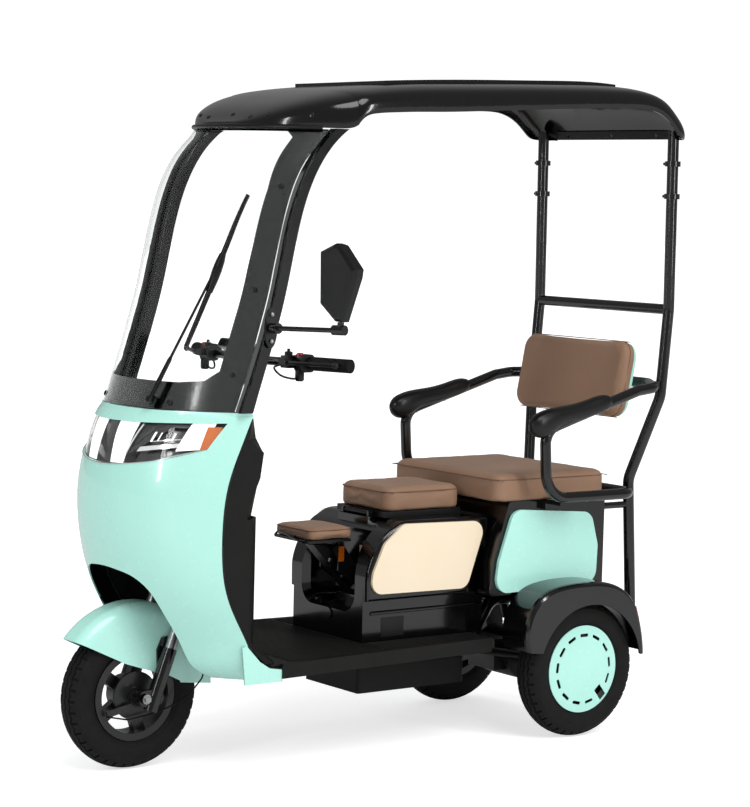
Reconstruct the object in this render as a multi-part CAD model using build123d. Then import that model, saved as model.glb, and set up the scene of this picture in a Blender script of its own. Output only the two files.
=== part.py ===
"""Electric passenger tricycle with a canopy: one STEP file for each named sub-part.

Frame of reference, in millimetres: the ground under the front tyre is the origin,
+X is the vehicle's left, +Y points to its rear and +Z points up.
"""
from build123d import *
import math
import os

# ---------------------------------------------------------------- driving dimensions
WHEELBASE = 1215
REAR_TRACK = 534
TYRE_RADIUS = 183
TYRE_WIDTH = 80
BEAD_RADIUS = 103
RIM_FLANGE_RADIUS = 112
RIM_WIDTH = 60
HUBCAP_RADIUS = 116
HUBCAP_FACE = 34.8           # hubcap's rim outboard of the tyre's centre plane
HUBCAP_DOME = 9
HUBCAP_WALL = 2.5
HUBCAP_SLOTS = 13            # openings around the hubcap, one of them for the valve
VALVE_ANGLE = -48
REAR_AXLE_RADIUS = 9
RIM_SPOKES = 5

STEERING_RAKE = 20           # degrees from vertical
FORK_OFFSET = 30             # steering axis behind the front axle, at axle height
FORK_LEG_SPACING = 144
FORK_LEG_RADIUS = 14
STEERER_RADIUS = 15
CROWN_HEIGHT = 446
STEM_HEIGHT = 980
AXLE_RADIUS = 6
SHAFT_CLEARANCE = 0.05
SEAT_GAP = 0.3               # a soft or loose piece lies this far from its seat

FLOOR_HEIGHT = 281
FLOOR_FRONT = 226
FLOOR_REAR = 945
FLOOR_HALF_FRONT = 296
FLOOR_HALF_REAR = 250
SKIRT_HEIGHT = 36
SHEET = 4                    # wall of the moulded covers

BATTERY_HALF_WIDTH = 118
BATTERY_FRONT = 612
BATTERY_REAR = 958
BATTERY_BOTTOM = 142

APRON_HALF_WIDTH = 290
APRON_TOP = 885
APRON_FULLNESS = 2.5         # exponent of the plan curve, 2 is a parabola

SCREEN_HALF_WIDTH = 275
SCREEN_BULGE = 145
SCREEN_THICKNESS = 3
SCREEN_BOTTOM = 893.3
SCREEN_TOP = 1575
PILLAR_WIDTH = 30
PANEL_DEPTH = 10

ROOF_HALF_WIDTH = 318
ROOF_WALL = 5

BOX_HALF_WIDTH = 154
BOX_FRONT = 595
BOX_REAR = 985
POD_HALF_WIDTH = 172
DRIVER_DECK = 590
REAR_BOX_HALF_WIDTH = 222
REAR_BOX_REAR = 1345
REAR_BOX_BOTTOM = 384
REAR_DECK = 630

DRIVER_SEAT_HALF_WIDTH = 114
DRIVER_SEAT_FRONT = 690
DRIVER_SEAT_REAR = 952
DRIVER_SEAT_TOP = 668
DRIVER_CUSHION = 62
BENCH_HALF_WIDTH = 236
BENCH_FRONT = 958
BENCH_REAR = 1352
BENCH_TOP = 702
CHILD_SEAT_HALF_WIDTH = 84
CHILD_SEAT_FRONT = 474
CHILD_SEAT_REAR = 616
CHILD_SEAT_TOP = 572
CHILD_CUSHION = 32

POLE_HALF_SPACING = 268
POLE_RADIUS = 15
ARM_HALF_SPACING = 300
ARM_TUBE_RADIUS = 14.5

HANDLEBAR_HALF_WIDTH = 342
HANDLEBAR_RADIUS = 11
GRIP_RADIUS = 17
GRIP_LENGTH = 110
GRIP_HEIGHT = 1004

RAKE_TAN = math.tan(math.radians(STEERING_RAKE))
AXIS_DIRECTION = Vector(0, math.sin(math.radians(STEERING_RAKE)), math.cos(math.radians(STEERING_RAKE)))
FRONT_AXLE = Vector(0, 0, TYRE_RADIUS)


def steering_point(height, x=0.0):
    """Point of the steering axis at a height, shifted sideways by x."""
    return Vector(x, FORK_OFFSET + (height - TYRE_RADIUS) * RAKE_TAN, height)


def both_sides(shape):
    """A shape on the left and its mirror image on the right."""
    return [shape, mirror(shape, about=Plane.YZ)]


def block(x0, x1, y0, y1, z0, z1):
    """Box between two corners."""
    centre = ((x0 + x1) / 2, (y0 + y1) / 2, (z0 + z1) / 2)
    return Pos(*centre) * Box(x1 - x0, y1 - y0, z1 - z0)


def rod(start, end, radius):
    """Round bar between two points."""
    a = Vector(*start) if isinstance(start, tuple) else start
    b = Vector(*end) if isinstance(end, tuple) else end
    plane = Plane(origin=a, z_dir=(b - a).normalized())
    return extrude(plane * Circle(radius), amount=(b - a).length)


def bent_tube(points, radius, bend):
    """Round tube along straight runs joined by arcs."""
    path = FilletPolyline(*points, radius=bend)
    return sweep((path ^ 0) * Circle(radius), path=path)


def side_prism(outline, x0, x1):
    """Prism along X over an outline given as (y, z) points."""
    face = make_face(Polyline(*[(x0, y, z) for y, z in outline], close=True))
    return extrude(face, amount=x1 - x0, dir=(1, 0, 0))


def rounded_side_prism(outline, corner, x0, x1):
    """Prism along X over an outline with rounded corners."""
    sketch = Polyline(*outline, close=True)
    face = make_face(sketch)
    face = fillet(face.vertices(), corner)
    solid = extrude(Plane(origin=(x0, 0, 0), x_dir=(0, 1, 0), z_dir=(1, 0, 0)) * face, amount=x1 - x0)
    return solid


def rounded_side_box(x0, x1, z0, z1, corner, y0, y1):
    """Box along Y with rounded lower corners."""
    face = make_face(Polyline((x0, z0), (x1, z0), (x1, z1), (x0, z1), close=True))
    low = face.vertices().sort_by(Axis.Y)[:2]
    face = fillet(low, corner)
    plane = Plane(origin=(0, y0, 0), x_dir=(1, 0, 0), z_dir=(0, -1, 0))
    return extrude(plane * face, amount=-(y1 - y0))


def cushion(x_half, y0, y1, z0, z1, corner, crown):
    """Pad with rounded corners in plan and a rounded upper edge."""
    plan = Pos((0, (y0 + y1) / 2, z0)) * RectangleRounded(2 * x_half, y1 - y0, corner)
    pad = extrude(plan, amount=z1 - z0)
    return fillet(pad.edges().group_by(Axis.Z)[-1], crown)


# ---------------------------------------------------------------- wheels
def tyre():
    """Solid ring of the tyre's outer shape, about the X axis."""
    half = TYRE_WIDTH / 2
    bead_half = RIM_WIDTH / 2 - 3
    lip = RIM_FLANGE_RADIUS + 1
    widest = (half, (BEAD_RADIUS + TYRE_RADIUS) / 2 + 2)
    shoulder = (half - 7, TYRE_RADIUS - 13)
    with BuildLine(Plane.XZ) as outline:
        Line((-bead_half, BEAD_RADIUS), (bead_half, BEAD_RADIUS))
        Line((bead_half, BEAD_RADIUS), (bead_half, lip))
        Spline((bead_half, lip), widest, shoulder)
        ThreePointArc(shoulder, (0, TYRE_RADIUS), (-shoulder[0], shoulder[1]))
        Spline((-shoulder[0], shoulder[1]), (-widest[0], widest[1]), (-bead_half, lip))
        Line((-bead_half, lip), (-bead_half, BEAD_RADIUS))
    return revolve(make_face(outline.line), axis=Axis.X)


def ring(x0, x1, inner, outer):
    """Ring about the X axis."""
    plane = Plane(origin=(x0, 0, 0), z_dir=(1, 0, 0))
    profile = Circle(outer) - Circle(inner) if inner > 0 else Circle(outer)
    return extrude(plane * profile, amount=x1 - x0)


def rim_barrel():
    """Barrel with a flange at each edge."""
    half = RIM_WIDTH / 2
    barrel = ring(-half, half, BEAD_RADIUS - 9, BEAD_RADIUS - 0.3)
    flange = ring(half - 2.5, half + 2, BEAD_RADIUS - 9, RIM_FLANGE_RADIUS)
    return barrel + flange + mirror(flange, about=Plane.YZ)


def front_wheel_rim():
    """Cast rim with five broad spokes and a hub bored for the axle."""
    rim = rim_barrel() + ring(-30, 20, 0, 46)
    for index in range(RIM_SPOKES):
        spoke = Pos(-5, 0, 70) * Box(22, 30, 58)
        rim = rim + Rot(X=54 + index * 360 / RIM_SPOKES) * spoke
    return rim - ring(-60, 60, 0, AXLE_RADIUS + SHAFT_CLEARANCE)


def rear_wheel_rim():
    """Pressed rim with a dished disc and a hub, outer face towards +X."""
    disc = ring(4, 9, 0, BEAD_RADIUS - 8)
    hub = ring(-26, 16, 0, 30)
    rim = rim_barrel() + disc + hub
    return rim - ring(-60, 60, 0, REAR_AXLE_RADIUS + SHAFT_CLEARANCE)


def hubcap():
    """Shallow domed disc with a ring of slots and one opening for the valve."""
    back = HUBCAP_FACE - HUBCAP_WALL
    crown = HUBCAP_FACE + HUBCAP_DOME
    middle = HUBCAP_RADIUS / 2
    rise = HUBCAP_DOME * 0.75
    with BuildLine(Plane.XZ) as outline:
        ThreePointArc((crown, 0), (HUBCAP_FACE + rise, middle), (HUBCAP_FACE, HUBCAP_RADIUS))
        Line((HUBCAP_FACE, HUBCAP_RADIUS), (back, HUBCAP_RADIUS))
        ThreePointArc((back, HUBCAP_RADIUS), (back + rise, middle), (crown - HUBCAP_WALL, 0))
        Line((crown - HUBCAP_WALL, 0), (crown, 0))
    seam = VALVE_ANGLE + 5.5 * 360 / HUBCAP_SLOTS - 90
    disc = Rot(X=seam) * revolve(make_face(outline.line), axis=Axis.X)
    reach = HUBCAP_RADIUS * 0.78
    slot = Box(40, 8.5, 27)
    slot = fillet(slot.edges().filter_by(Axis.X), 3)
    notch = Box(40, 40, 24)
    cutters = [Rot(X=VALVE_ANGLE) * Pos(HUBCAP_FACE, reach, 0) * notch]
    for index in range(1, HUBCAP_SLOTS):
        angle = VALVE_ANGLE + index * 360 / HUBCAP_SLOTS
        cutters.append(Rot(X=angle) * Pos(HUBCAP_FACE, reach, 0) * slot)
    return disc - cutters


def rear_side(shape, side):
    """Places a wheel piece at the left (+1) or right (-1) rear wheel."""
    piece = shape if side > 0 else mirror(shape, about=Plane.YZ)
    return Pos(side * REAR_TRACK / 2, WHEELBASE, TYRE_RADIUS) * piece


# ---------------------------------------------------------------- steering and fork
def fork():
    """Steerer, crown, two legs and the lugs that hold the front axle."""
    crown_centre = steering_point(CROWN_HEIGHT)
    crown_plane = Plane(origin=crown_centre, x_dir=(1, 0, 0), z_dir=AXIS_DIRECTION)
    crown = extrude(crown_plane * RectangleRounded(FORK_LEG_SPACING + 34, 44, 18), amount=11, both=True)
    body = crown + rod(crown_centre, steering_point(STEM_HEIGHT - 4), STEERER_RADIUS)
    for side in (1, -1):
        x = side * FORK_LEG_SPACING / 2
        leg = rod(steering_point(160, x), steering_point(CROWN_HEIGHT + 10, x), FORK_LEG_RADIUS)
        lower = rod(steering_point(150, x), steering_point(300, x), FORK_LEG_RADIUS + 4)
        lug_plane = Plane(origin=(x - 7, 0, 0), x_dir=(0, 1, 0), z_dir=(1, 0, 0))
        lug = extrude(lug_plane * (Pos(18, TYRE_RADIUS) * RectangleRounded(68, 40, 17)), amount=14)
        inboard = side * (FENDER_HALF_WIDTH + SEAT_GAP)
        outboard = side * (FENDER_HALF_WIDTH + 6)
        bracket = side_prism([(46, 252), (44, 296), (58, 326), (84, 330), (66, 258)], inboard, outboard)
        spacer = ring(side * 40, x, 0, 11) if side > 0 else ring(x, side * 40, 0, 11)
        body = body + leg + lower + lug + bracket + Pos(*FRONT_AXLE) * spacer
    axle = ring(-FORK_LEG_SPACING / 2 - 14, FORK_LEG_SPACING / 2 + 14, 0, AXLE_RADIUS)
    return body + Pos(*FRONT_AXLE) * axle


def brake_plate():
    """Fixed plate of the front drum brake with its lever."""
    plate = ring(26, 33, 0, 60)
    boss = ring(33, 40 - SEAT_GAP, 0, 22)
    post = Pos(0, -24, -24) * ring(33, 46, 0, 8)
    arm = Pos(43, -52, -30) * Rot(X=12) * Box(6, 70, 16)
    bore = ring(0, 60, 0, AXLE_RADIUS + 0.1)
    return Pos(*FRONT_AXLE) * (plate + boss + post + arm - bore)


CABLE_RADIUS = 2
# corners of the front brake cable, from the drum's arm to the fork's crown
BRAKE_CABLE = [(48.4, -84, 141), (48.4, -30, 129), (48.4, 30, 136), (52, 84, 149), (68, 132, 178), (88, 160, 224),
               (96, 152, 280), (93, 140, 336), (90, 128, 390), (89, 121, 430)]
CABLE_BEND = 30


def brake_cable():
    """Outer cable of the front drum brake, held at the arm and under the fork's crown."""
    return bent_tube(BRAKE_CABLE, CABLE_RADIUS, CABLE_BEND)


FENDER_RADIUS = 226
FENDER_CENTRE_RISE = 4
FENDER_HALF_WIDTH = 53
FLAP_RADIUS = 200


def front_fender():
    """Hooded mudguard over the front tyre, open underneath, with a rear flap."""
    centre = Vector(0, 6, TYRE_RADIUS + FENDER_CENTRE_RISE)
    outer = Pos(*centre) * ring(-FENDER_HALF_WIDTH, FENDER_HALF_WIDTH, 0, FENDER_RADIUS)
    outer = fillet(outer.edges().filter_by(GeomType.CIRCLE), 34)
    room = FENDER_HALF_WIDTH - SHEET
    inner = Pos(*centre) * ring(-room, room, 0, FENDER_RADIUS - SHEET)
    inner = fillet(inner.edges().filter_by(GeomType.CIRCLE), 31)
    hood = outer - inner
    keep = side_prism([(-172, 330), (-40, 268), (58, 236), (96, 330), (60, 440), (-172, 440)], -80, 80)
    flap_outer = Pos(*centre) * ring(-FENDER_HALF_WIDTH, FENDER_HALF_WIDTH, 0, FLAP_RADIUS)
    flap_inner = Pos(*centre) * ring(-room, room, 0, FLAP_RADIUS - SHEET)
    flap_keep = side_prism([(94, 288), (104, 252), (118, 208), (230, 196), (230, 252), (150, 330)], -80, 80)
    flap = (flap_outer - flap_inner) & flap_keep
    web = side_prism([(56, 242), (122, 210), (150, 290), (94, 326)], room, FENDER_HALF_WIDTH)
    return (hood & keep) + flap + web + mirror(web, about=Plane.YZ)


BAR_SWEEP = 62               # grips lie this far behind the bar's middle
BAR_Y = steering_point(STEM_HEIGHT).Y + 16


def bar_points():
    """Corners of the handlebar's line, from left to right."""
    left = [
        (HANDLEBAR_HALF_WIDTH, BAR_Y + BAR_SWEEP, GRIP_HEIGHT),
        (200, BAR_Y + 14, GRIP_HEIGHT),
        (90, BAR_Y, GRIP_HEIGHT - 2),
    ]
    return left + [(-x, y, z) for x, y, z in reversed(left)]


def handlebar():
    """Stem clamp and bent bar."""
    stem = rod(steering_point(STEM_HEIGHT - 40), steering_point(STEM_HEIGHT + 22), STEERER_RADIUS + 8)
    bore = rod(steering_point(STEM_HEIGHT - 60), steering_point(STEM_HEIGHT - 3.7), STEERER_RADIUS + 0.1)
    pod = Pos(0, BAR_Y - 30, GRIP_HEIGHT + 22) * Rot(X=-30) * Box(112, 70, 26)
    pod = fillet(pod.edges(), 8)
    return stem - bore + bent_tube(bar_points(), HANDLEBAR_RADIUS, 60) + pod


def bar_cutter():
    """The handlebar's line, a little thicker, cut from what is clamped on it."""
    return bent_tube(bar_points(), HANDLEBAR_RADIUS + 0.15, 60)


def grip():
    """Left grip, closed at its outer end."""
    outer = Vector(*bar_points()[0])
    inner = Vector(*bar_points()[1])
    direction = (inner - outer).normalized()
    sleeve = rod(outer - direction * 3, outer + direction * GRIP_LENGTH, GRIP_RADIUS)
    return sleeve - bar_cutter()


LEVER_HEIGHT = GRIP_HEIGHT + 2


def bar_controls():
    """Left switch housing, lever perch and brake lever."""
    housing = Pos(214, BAR_Y + 17, GRIP_HEIGHT) * Box(30, 40, 44)
    housing = fillet(housing.edges().filter_by(Axis.X), 10)
    perch = Pos(182, BAR_Y + 2, GRIP_HEIGHT + 2) * Box(30, 46, 30)
    pivot = Pos(190, BAR_Y - 22, LEVER_HEIGHT) * Box(30, 22, 14)
    tip = (335, BAR_Y + 24, LEVER_HEIGHT)
    lever = bent_tube([(190, BAR_Y - 24, LEVER_HEIGHT), (222, BAR_Y - 24, LEVER_HEIGHT), tip], 5, 30)
    return housing + perch + pivot + lever + Pos(*tip) * Sphere(8) - bar_cutter()


# ---------------------------------------------------------------- frame under the covers
HEAD_TUBE_LOW = 500
HEAD_TUBE_HIGH = 690
NECK_SPACING = 36
RAIL_SPACING = 96
RAIL_RADIUS = 16
RAIL_HEIGHT = 226
CRADLE_HEIGHT = 352
POLE_BEAM_HEIGHT = 300
POLE_FOOT = (213, 1458)
PIVOT_BEAM_Y = 978


def cross_tube(half, y, z, radius):
    """Straight tube across the vehicle."""
    return rod((-half, y, z), (half, y, z), radius)


def chassis():
    """Steering head, down tubes, floor rails and the rear cradle."""
    frame = rod(steering_point(HEAD_TUBE_LOW), steering_point(HEAD_TUBE_HIGH), STEERER_RADIUS + 9)
    for side in (1, -1):
        rail = [
            (side * 14, steering_point(560).Y + 4, 560),
            (side * NECK_SPACING, 242, RAIL_HEIGHT + 10),
            (side * RAIL_SPACING, 400, RAIL_HEIGHT),
            (side * RAIL_SPACING, PIVOT_BEAM_Y + 7, RAIL_HEIGHT),
            (side * RAIL_SPACING, 1060, CRADLE_HEIGHT),
            (side * RAIL_SPACING, POLE_FOOT[1] - 90, CRADLE_HEIGHT),
            (side * RAIL_SPACING, POLE_FOOT[1], POLE_BEAM_HEIGHT),
        ]
        frame = frame + bent_tube(rail, RAIL_RADIUS, 50)
    frame = frame + cross_tube(RAIL_SPACING, 420, RAIL_HEIGHT, 13)
    frame = frame + cross_tube(RAIL_SPACING, PIVOT_BEAM_Y, RAIL_HEIGHT, 14)
    frame = frame + cross_tube(RAIL_SPACING, 1085, CRADLE_HEIGHT, 14)
    frame = frame + cross_tube(POLE_FOOT[0] + 10, POLE_FOOT[1], POLE_BEAM_HEIGHT, RAIL_RADIUS + 2)
    bore_ends = steering_point(HEAD_TUBE_LOW - 40), steering_point(HEAD_TUBE_HIGH + 40)
    return frame - rod(*bore_ends, STEERER_RADIUS + SHAFT_CLEARANCE)


def rear_axle():
    """Motor and differential housing, axle tube, brake drums and swing arms."""
    outer = REAR_TRACK / 2
    motor = ring(-70, 70, 0, 66) + Pos(0, -66, 6) * Box(110, 70, 84)
    tube = ring(-outer + 42, outer - 42, 0, 24)
    drum = ring(outer - 60, outer - 34, 0, 62)
    spindle = ring(-outer - 22, outer + 22, 0, REAR_AXLE_RADIUS)
    axle = Pos(0, WHEELBASE, TYRE_RADIUS) * (motor + tube + drum + mirror(drum, about=Plane.YZ) + spindle)
    for side in (1, -1):
        eye = (side * 84, PIVOT_BEAM_Y + 26, RAIL_HEIGHT - 6)
        axle = axle + rod(eye, (side * 84, WHEELBASE, TYRE_RADIUS), 11)
    return axle


def shock_absorber():
    """Left spring leg between the axle tube and the box."""
    low = TYRE_RADIUS + 24 + SEAT_GAP
    high = REAR_BOX_BOTTOM - SEAT_GAP
    leg = rod((150, WHEELBASE, low), (150, WHEELBASE, high), 9)
    return leg + rod((150, WHEELBASE, low + 20), (150, WHEELBASE, high - 14), 21)


# ---------------------------------------------------------------- floor and battery
def footboard():
    """Tray with a flat tread area and skirts along both sides."""
    outline = [
        (FLOOR_HALF_FRONT, FLOOR_FRONT),
        (FLOOR_HALF_REAR, FLOOR_REAR),
        (-FLOOR_HALF_REAR, FLOOR_REAR),
        (-FLOOR_HALF_FRONT, FLOOR_FRONT),
    ]
    inner = [
        (FLOOR_HALF_FRONT - 5, FLOOR_FRONT - 5),
        (FLOOR_HALF_REAR - 5, FLOOR_REAR + 5),
        (-FLOOR_HALF_REAR + 5, FLOOR_REAR + 5),
        (-FLOOR_HALF_FRONT + 5, FLOOR_FRONT - 5),
    ]
    low = FLOOR_HEIGHT - SKIRT_HEIGHT
    tray = extrude(Pos(0, 0, low) * make_face(Polyline(*outline, close=True)), amount=SKIRT_HEIGHT)
    hollow = extrude(Pos(0, 0, low - 1) * make_face(Polyline(*inner, close=True)), amount=SKIRT_HEIGHT - 4)
    notch = block(-56, 56, FLOOR_FRONT - 5, 268, low - 5, FLOOR_HEIGHT + 5)
    inside_apron = APRON_HALF_WIDTH - SHEET - SEAT_GAP
    trims = [block(inside_apron, 310, FLOOR_FRONT - 5, APRON_FOOT_REAR, low - 5, FLOOR_HEIGHT + 5)]
    trims.append(mirror(trims[0], about=Plane.YZ))
    return tray - hollow - notch - trims


def battery_box():
    """Closed battery case slung under the floor."""
    top = RAIL_HEIGHT - RAIL_RADIUS
    case = block(-BATTERY_HALF_WIDTH, BATTERY_HALF_WIDTH, BATTERY_FRONT, BATTERY_REAR, BATTERY_BOTTOM, top)
    return fillet(case.edges().filter_by(Axis.Z), 8)


# ---------------------------------------------------------------- front apron
# height, y of the side edge, y of the front centre
APRON_LEVELS = [
    (APRON_TOP, 156, -44),
    (830, 131, -74),
    (780, 109, -88),
    (715, 87, -100),
    (650, 77, -102),
    (545, 76, -86),
    (435, 101, -46),
    (330, 156, 12),
    (240, 250, 82),
]
# x, height along the wheel arch's edge, in front view
ARCH_EDGE = [
    (0, 505),
    (60, 501),
    (108, 489),
    (141, 458),
    (154, 405),
    (159, 355),
    (162, 293),
    (173, 238),
]
# y, height along the foot of the side wall
APRON_FOOT = [(150, 238), (256, 238), (256, 267), (221, 273), (192, 291), (154, 331), (140, 331)]
APRON_FOOT_REAR = APRON_FOOT[1][0] + SEAT_GAP


def plan_curve(half, edge, front, inset=0.0):
    """Points of the apron's plan outline, from the left edge over the front to the right edge."""
    points = []
    for step in range(-6, 7):
        share = -step / 6
        x = (half - inset) * share
        y = edge - (edge - front - inset) * (1 - abs(share) ** APRON_FULLNESS)
        points.append((x, y))
    return points


def bow_section(height, half, edge, front, wall):
    """U-shaped section of a bowed sheet at one height."""
    outer = Spline(*[(x, y, height) for x, y in plan_curve(half, edge, front)])
    inner = Spline(*[(x, y, height) for x, y in plan_curve(half, edge, front, wall)])
    ends = [Line(outer @ 0, inner @ 0), Line(outer @ 1, inner @ 1)]
    return make_face([outer, ends[0], inner, ends[1]])


def arch_cutter():
    """Cutter of the wheel arch, swept along Y."""
    left = [(-x, z) for x, z in reversed(ARCH_EDGE[1:])]
    points = [Vector(x, -300, z) for x, z in left + ARCH_EDGE]
    crown = Spline(*points)
    floor = Polyline(points[-1], (190, -300, 180), (-190, -300, 180), points[0])
    return extrude(make_face([crown, floor]), amount=700, dir=(0, 1, 0))


def front_apron():
    """Bowed front cover with a wheel arch below and a window for the lamps."""
    shell = loft([bow_section(z, APRON_HALF_WIDTH, edge, front, SHEET) for z, edge, front in APRON_LEVELS])
    foot = side_prism(APRON_FOOT, APRON_HALF_WIDTH - SHEET, APRON_HALF_WIDTH)
    return shell - arch_cutter() - lamp_window() + foot + mirror(foot, about=Plane.YZ)


def smooth_value(knots, at):
    """Value of the smooth curve through (position, value) knots."""
    slopes = []
    for index in range(len(knots)):
        before = knots[max(index - 1, 0)]
        after = knots[min(index + 1, len(knots) - 1)]
        slopes.append((after[1] - before[1]) / (after[0] - before[0]))
    index = 0
    while index < len(knots) - 2 and at > knots[index + 1][0]:
        index += 1
    (p0, v0), (p1, v1) = knots[index], knots[index + 1]
    span = p1 - p0
    t = (at - p0) / span
    blend = t * t * (3 - 2 * t)
    return (v0 + (v1 - v0) * blend + span * t * (1 - t) ** 2 * slopes[index]
            - span * t * t * (1 - t) * slopes[index + 1])


# height, y of the windshield's side edge
SCREEN_EDGE = [(880, 108), (972, 142), (1163, 200), (1258, 221), (1402, 257), (1486, 296), (1575, 370)]


def screen_edge(height):
    """Y of the windshield's side edge at a height."""
    return smooth_value(SCREEN_EDGE, height)


def screen_y(x, height):
    """Y of the windshield's outer face."""
    return screen_edge(height) - SCREEN_BULGE * (1 - (abs(x) / SCREEN_HALF_WIDTH) ** APRON_FULLNESS)


def bowed_screen(inset, wall, low, high, half):
    """Bowed sheet that follows the pillars, lofted over even levels."""
    count = 12
    sections = []
    for step in range(count + 1):
        z = low + (high - low) * step / count
        edge = screen_edge(z)
        sections.append(bow_section(z, half, edge, edge - SCREEN_BULGE + inset, wall))
    return loft(sections)


def windshield():
    """Clear bowed sheet."""
    return bowed_screen(0, SCREEN_THICKNESS, SCREEN_BOTTOM, SCREEN_TOP, SCREEN_HALF_WIDTH)


# x, height along the edge of the clear window in the dark border
CLEAR_EDGE = [(228, 990), (228, 1060), (232, 1303), (233, 1426), (225, 1515), (222, 1552)]
CLEAR_BOTTOM = 960
CLEAR_TOP = 1566


def windshield_border():
    """Dark border bonded to the inner side of the windshield, with the clear window cut out."""
    inset = SCREEN_THICKNESS + 2 * SEAT_GAP
    band = bowed_screen(inset, 2, SCREEN_BOTTOM + 2, SCREEN_TOP - 2, SCREEN_HALF_WIDTH - inset)
    low_corner = CLEAR_EDGE[0]
    right = [(150, CLEAR_BOTTOM), (low_corner[0] - 22, CLEAR_BOTTOM + 6), *CLEAR_EDGE, (206, CLEAR_TOP)]
    outline = right + [(-x, z) for x, z in reversed(right)]
    window = make_face(Polyline(*[(x, -300, z) for x, z in outline], close=True))
    return band - extrude(window, amount=900, dir=(0, 1, 0))


# y, height along the pillar's rear edge
PILLAR_REAR = [(178, 972), (236, 1163), (257, 1258), (293, 1402), (332, 1486), (415, SCREEN_TOP)]
PILLAR_GAP = 7               # between the screen's outer edge and the pillar, along Y


def pillar():
    """Left side pillar from the cowl to the roof, as a prism of its side view."""
    rear = [(153, SCREEN_BOTTOM), *PILLAR_REAR]
    front = [(screen_edge(z) + PILLAR_GAP, z) for y, z in reversed(rear)]
    with BuildLine(Plane.YZ) as outline:
        Spline(*rear)
        Line(rear[-1], front[0])
        Spline(*front)
        Line(front[-1], rear[0])
    face = make_face(outline.line)
    x0 = SCREEN_HALF_WIDTH - 12
    solid = extrude(face, amount=PILLAR_WIDTH, dir=(1, 0, 0))
    return Pos(x0, 0, 0) * solid


# ---------------------------------------------------------------- roof
ROOF_FRONT = 236
ROOF_SEAM = 430
ROOF_REAR = 1538
# y, half width
ROOF_HALF = [
    (236, 60), (246, 112), (272, 176), (310, 226), (372, 282), (430, ROOF_HALF_WIDTH - 8),
    (500, ROOF_HALF_WIDTH), (900, ROOF_HALF_WIDTH), (1400, ROOF_HALF_WIDTH), (1480, ROOF_HALF_WIDTH - 4),
    (1505, ROOF_HALF_WIDTH - 10), (1524, ROOF_HALF_WIDTH - 30), (1538, ROOF_HALF_WIDTH - 68),
]
# y, height of the lower edge
ROOF_LOW = [
    (236, 1576), (372, 1576), (400, 1576), (418, 1577), (440, 1594), (470, 1614), (740, 1630),
    (1060, 1650), (1240, 1660), (1380, 1660), (1440, 1636), (1490, 1594), (1515, 1588), (1538, 1587),
]
# y, height of the top
ROOF_TOP = [
    (236, 1588), (300, 1628), (400, 1664), (500, 1684), (620, 1697), (800, 1707), (1060, 1718),
    (1300, 1724), (1400, 1715), (1450, 1697), (1490, 1664), (1515, 1634), (1538, 1598),
]
ROOF_SQUARENESS = 5          # exponent of the roof's cross-section


def roof_section(y, wall):
    """Inverted U section of the roof shell at one station."""
    half = smooth_value(ROOF_HALF, y)
    low = smooth_value(ROOF_LOW, y)
    top = smooth_value(ROOF_TOP, y)

    def arch(inset):
        points = []
        for step in range(0, 17):
            angle = math.pi * step / 16
            c, s = math.cos(angle), math.sin(angle)
            x = (half - inset) * math.copysign(abs(c) ** (2 / ROOF_SQUARENESS), c)
            z = low + (top - inset - low) * abs(s) ** (2 / ROOF_SQUARENESS)
            points.append((x, y, z))
        return Spline(*points)

    outer, inner = arch(0), arch(wall)
    return make_face([outer, Line(outer @ 1, inner @ 1), inner, Line(inner @ 0, outer @ 0)])


def roof_shell(stations):
    """Shell lofted over its stations."""
    return loft([roof_section(y, ROOF_WALL) for y in stations])


def front_visor():
    """Front end of the canopy, over the windshield."""
    return roof_shell([ROOF_FRONT, 246, 260, 280, 305, 335, 370, 400, ROOF_SEAM - SEAT_GAP])


def roof():
    """Canopy shell behind the visor, open underneath."""
    stations = [ROOF_SEAM + 45 * step for step in range(22)]
    return roof_shell(stations + [1445, 1470, 1490, 1505, 1517, 1528, ROOF_REAR])


def roof_panel(canopy):
    """Raised panel on top of the given canopy shell."""
    bottom = [(y, smooth_value(ROOF_TOP, y) - ROOF_WALL / 2) for y in (590, 760, 930, 1100, 1270, 1356)]
    rise = 10
    with BuildLine(Plane.YZ) as outline:
        Spline(*bottom)
        Line(bottom[-1], (bottom[-1][0], bottom[-1][1] + rise))
        Spline(*[(y, z + rise) for y, z in reversed(bottom)])
        Line((bottom[0][0], bottom[0][1] + rise), bottom[0])
    return Pos(0, 0, SEAT_GAP) * (extrude(make_face(outline.line), amount=196, both=True) - canopy)


VALANCE_Y = 1522
VALANCE_HALF = 232
VALANCE_HOLE_SPACING = 180


def rear_valance():
    """Plate across the roof's rear end with a row of three holes."""
    plate = block(-VALANCE_HALF, VALANCE_HALF, VALANCE_Y, VALANCE_Y + 3, 1589, 1612)
    for x in (-VALANCE_HOLE_SPACING, 0, VALANCE_HOLE_SPACING):
        plate = plate - rod((x, VALANCE_Y - 10, 1600), (x, VALANCE_Y + 20, 1600), 5)
    return plate


POLE_TOP = 1612


def rear_hoop():
    """Two bent poles that carry the roof, with a cross bar and stays to the box."""
    hoop = cross_tube(POLE_HALF_SPACING, 1511, 1132, 14)
    x, y = POLE_FOOT
    foot = POLE_BEAM_HEIGHT + RAIL_RADIUS + 2 + SEAT_GAP
    for side in (1, -1):
        pole = [(side * x, y, foot), (side * 209, 1439, 669), (side * 267, 1492, 896),
                (side * POLE_HALF_SPACING, 1511, 1132), (side * POLE_HALF_SPACING, 1506, POLE_TOP)]
        hoop = hoop + bent_tube(pole, POLE_RADIUS, [90, 90, 90])
        hoop = hoop + rod((side * 208, REAR_BOX_REAR + SEAT_GAP, 600), (side * 208, 1444, 600), 9)
    return hoop


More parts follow.
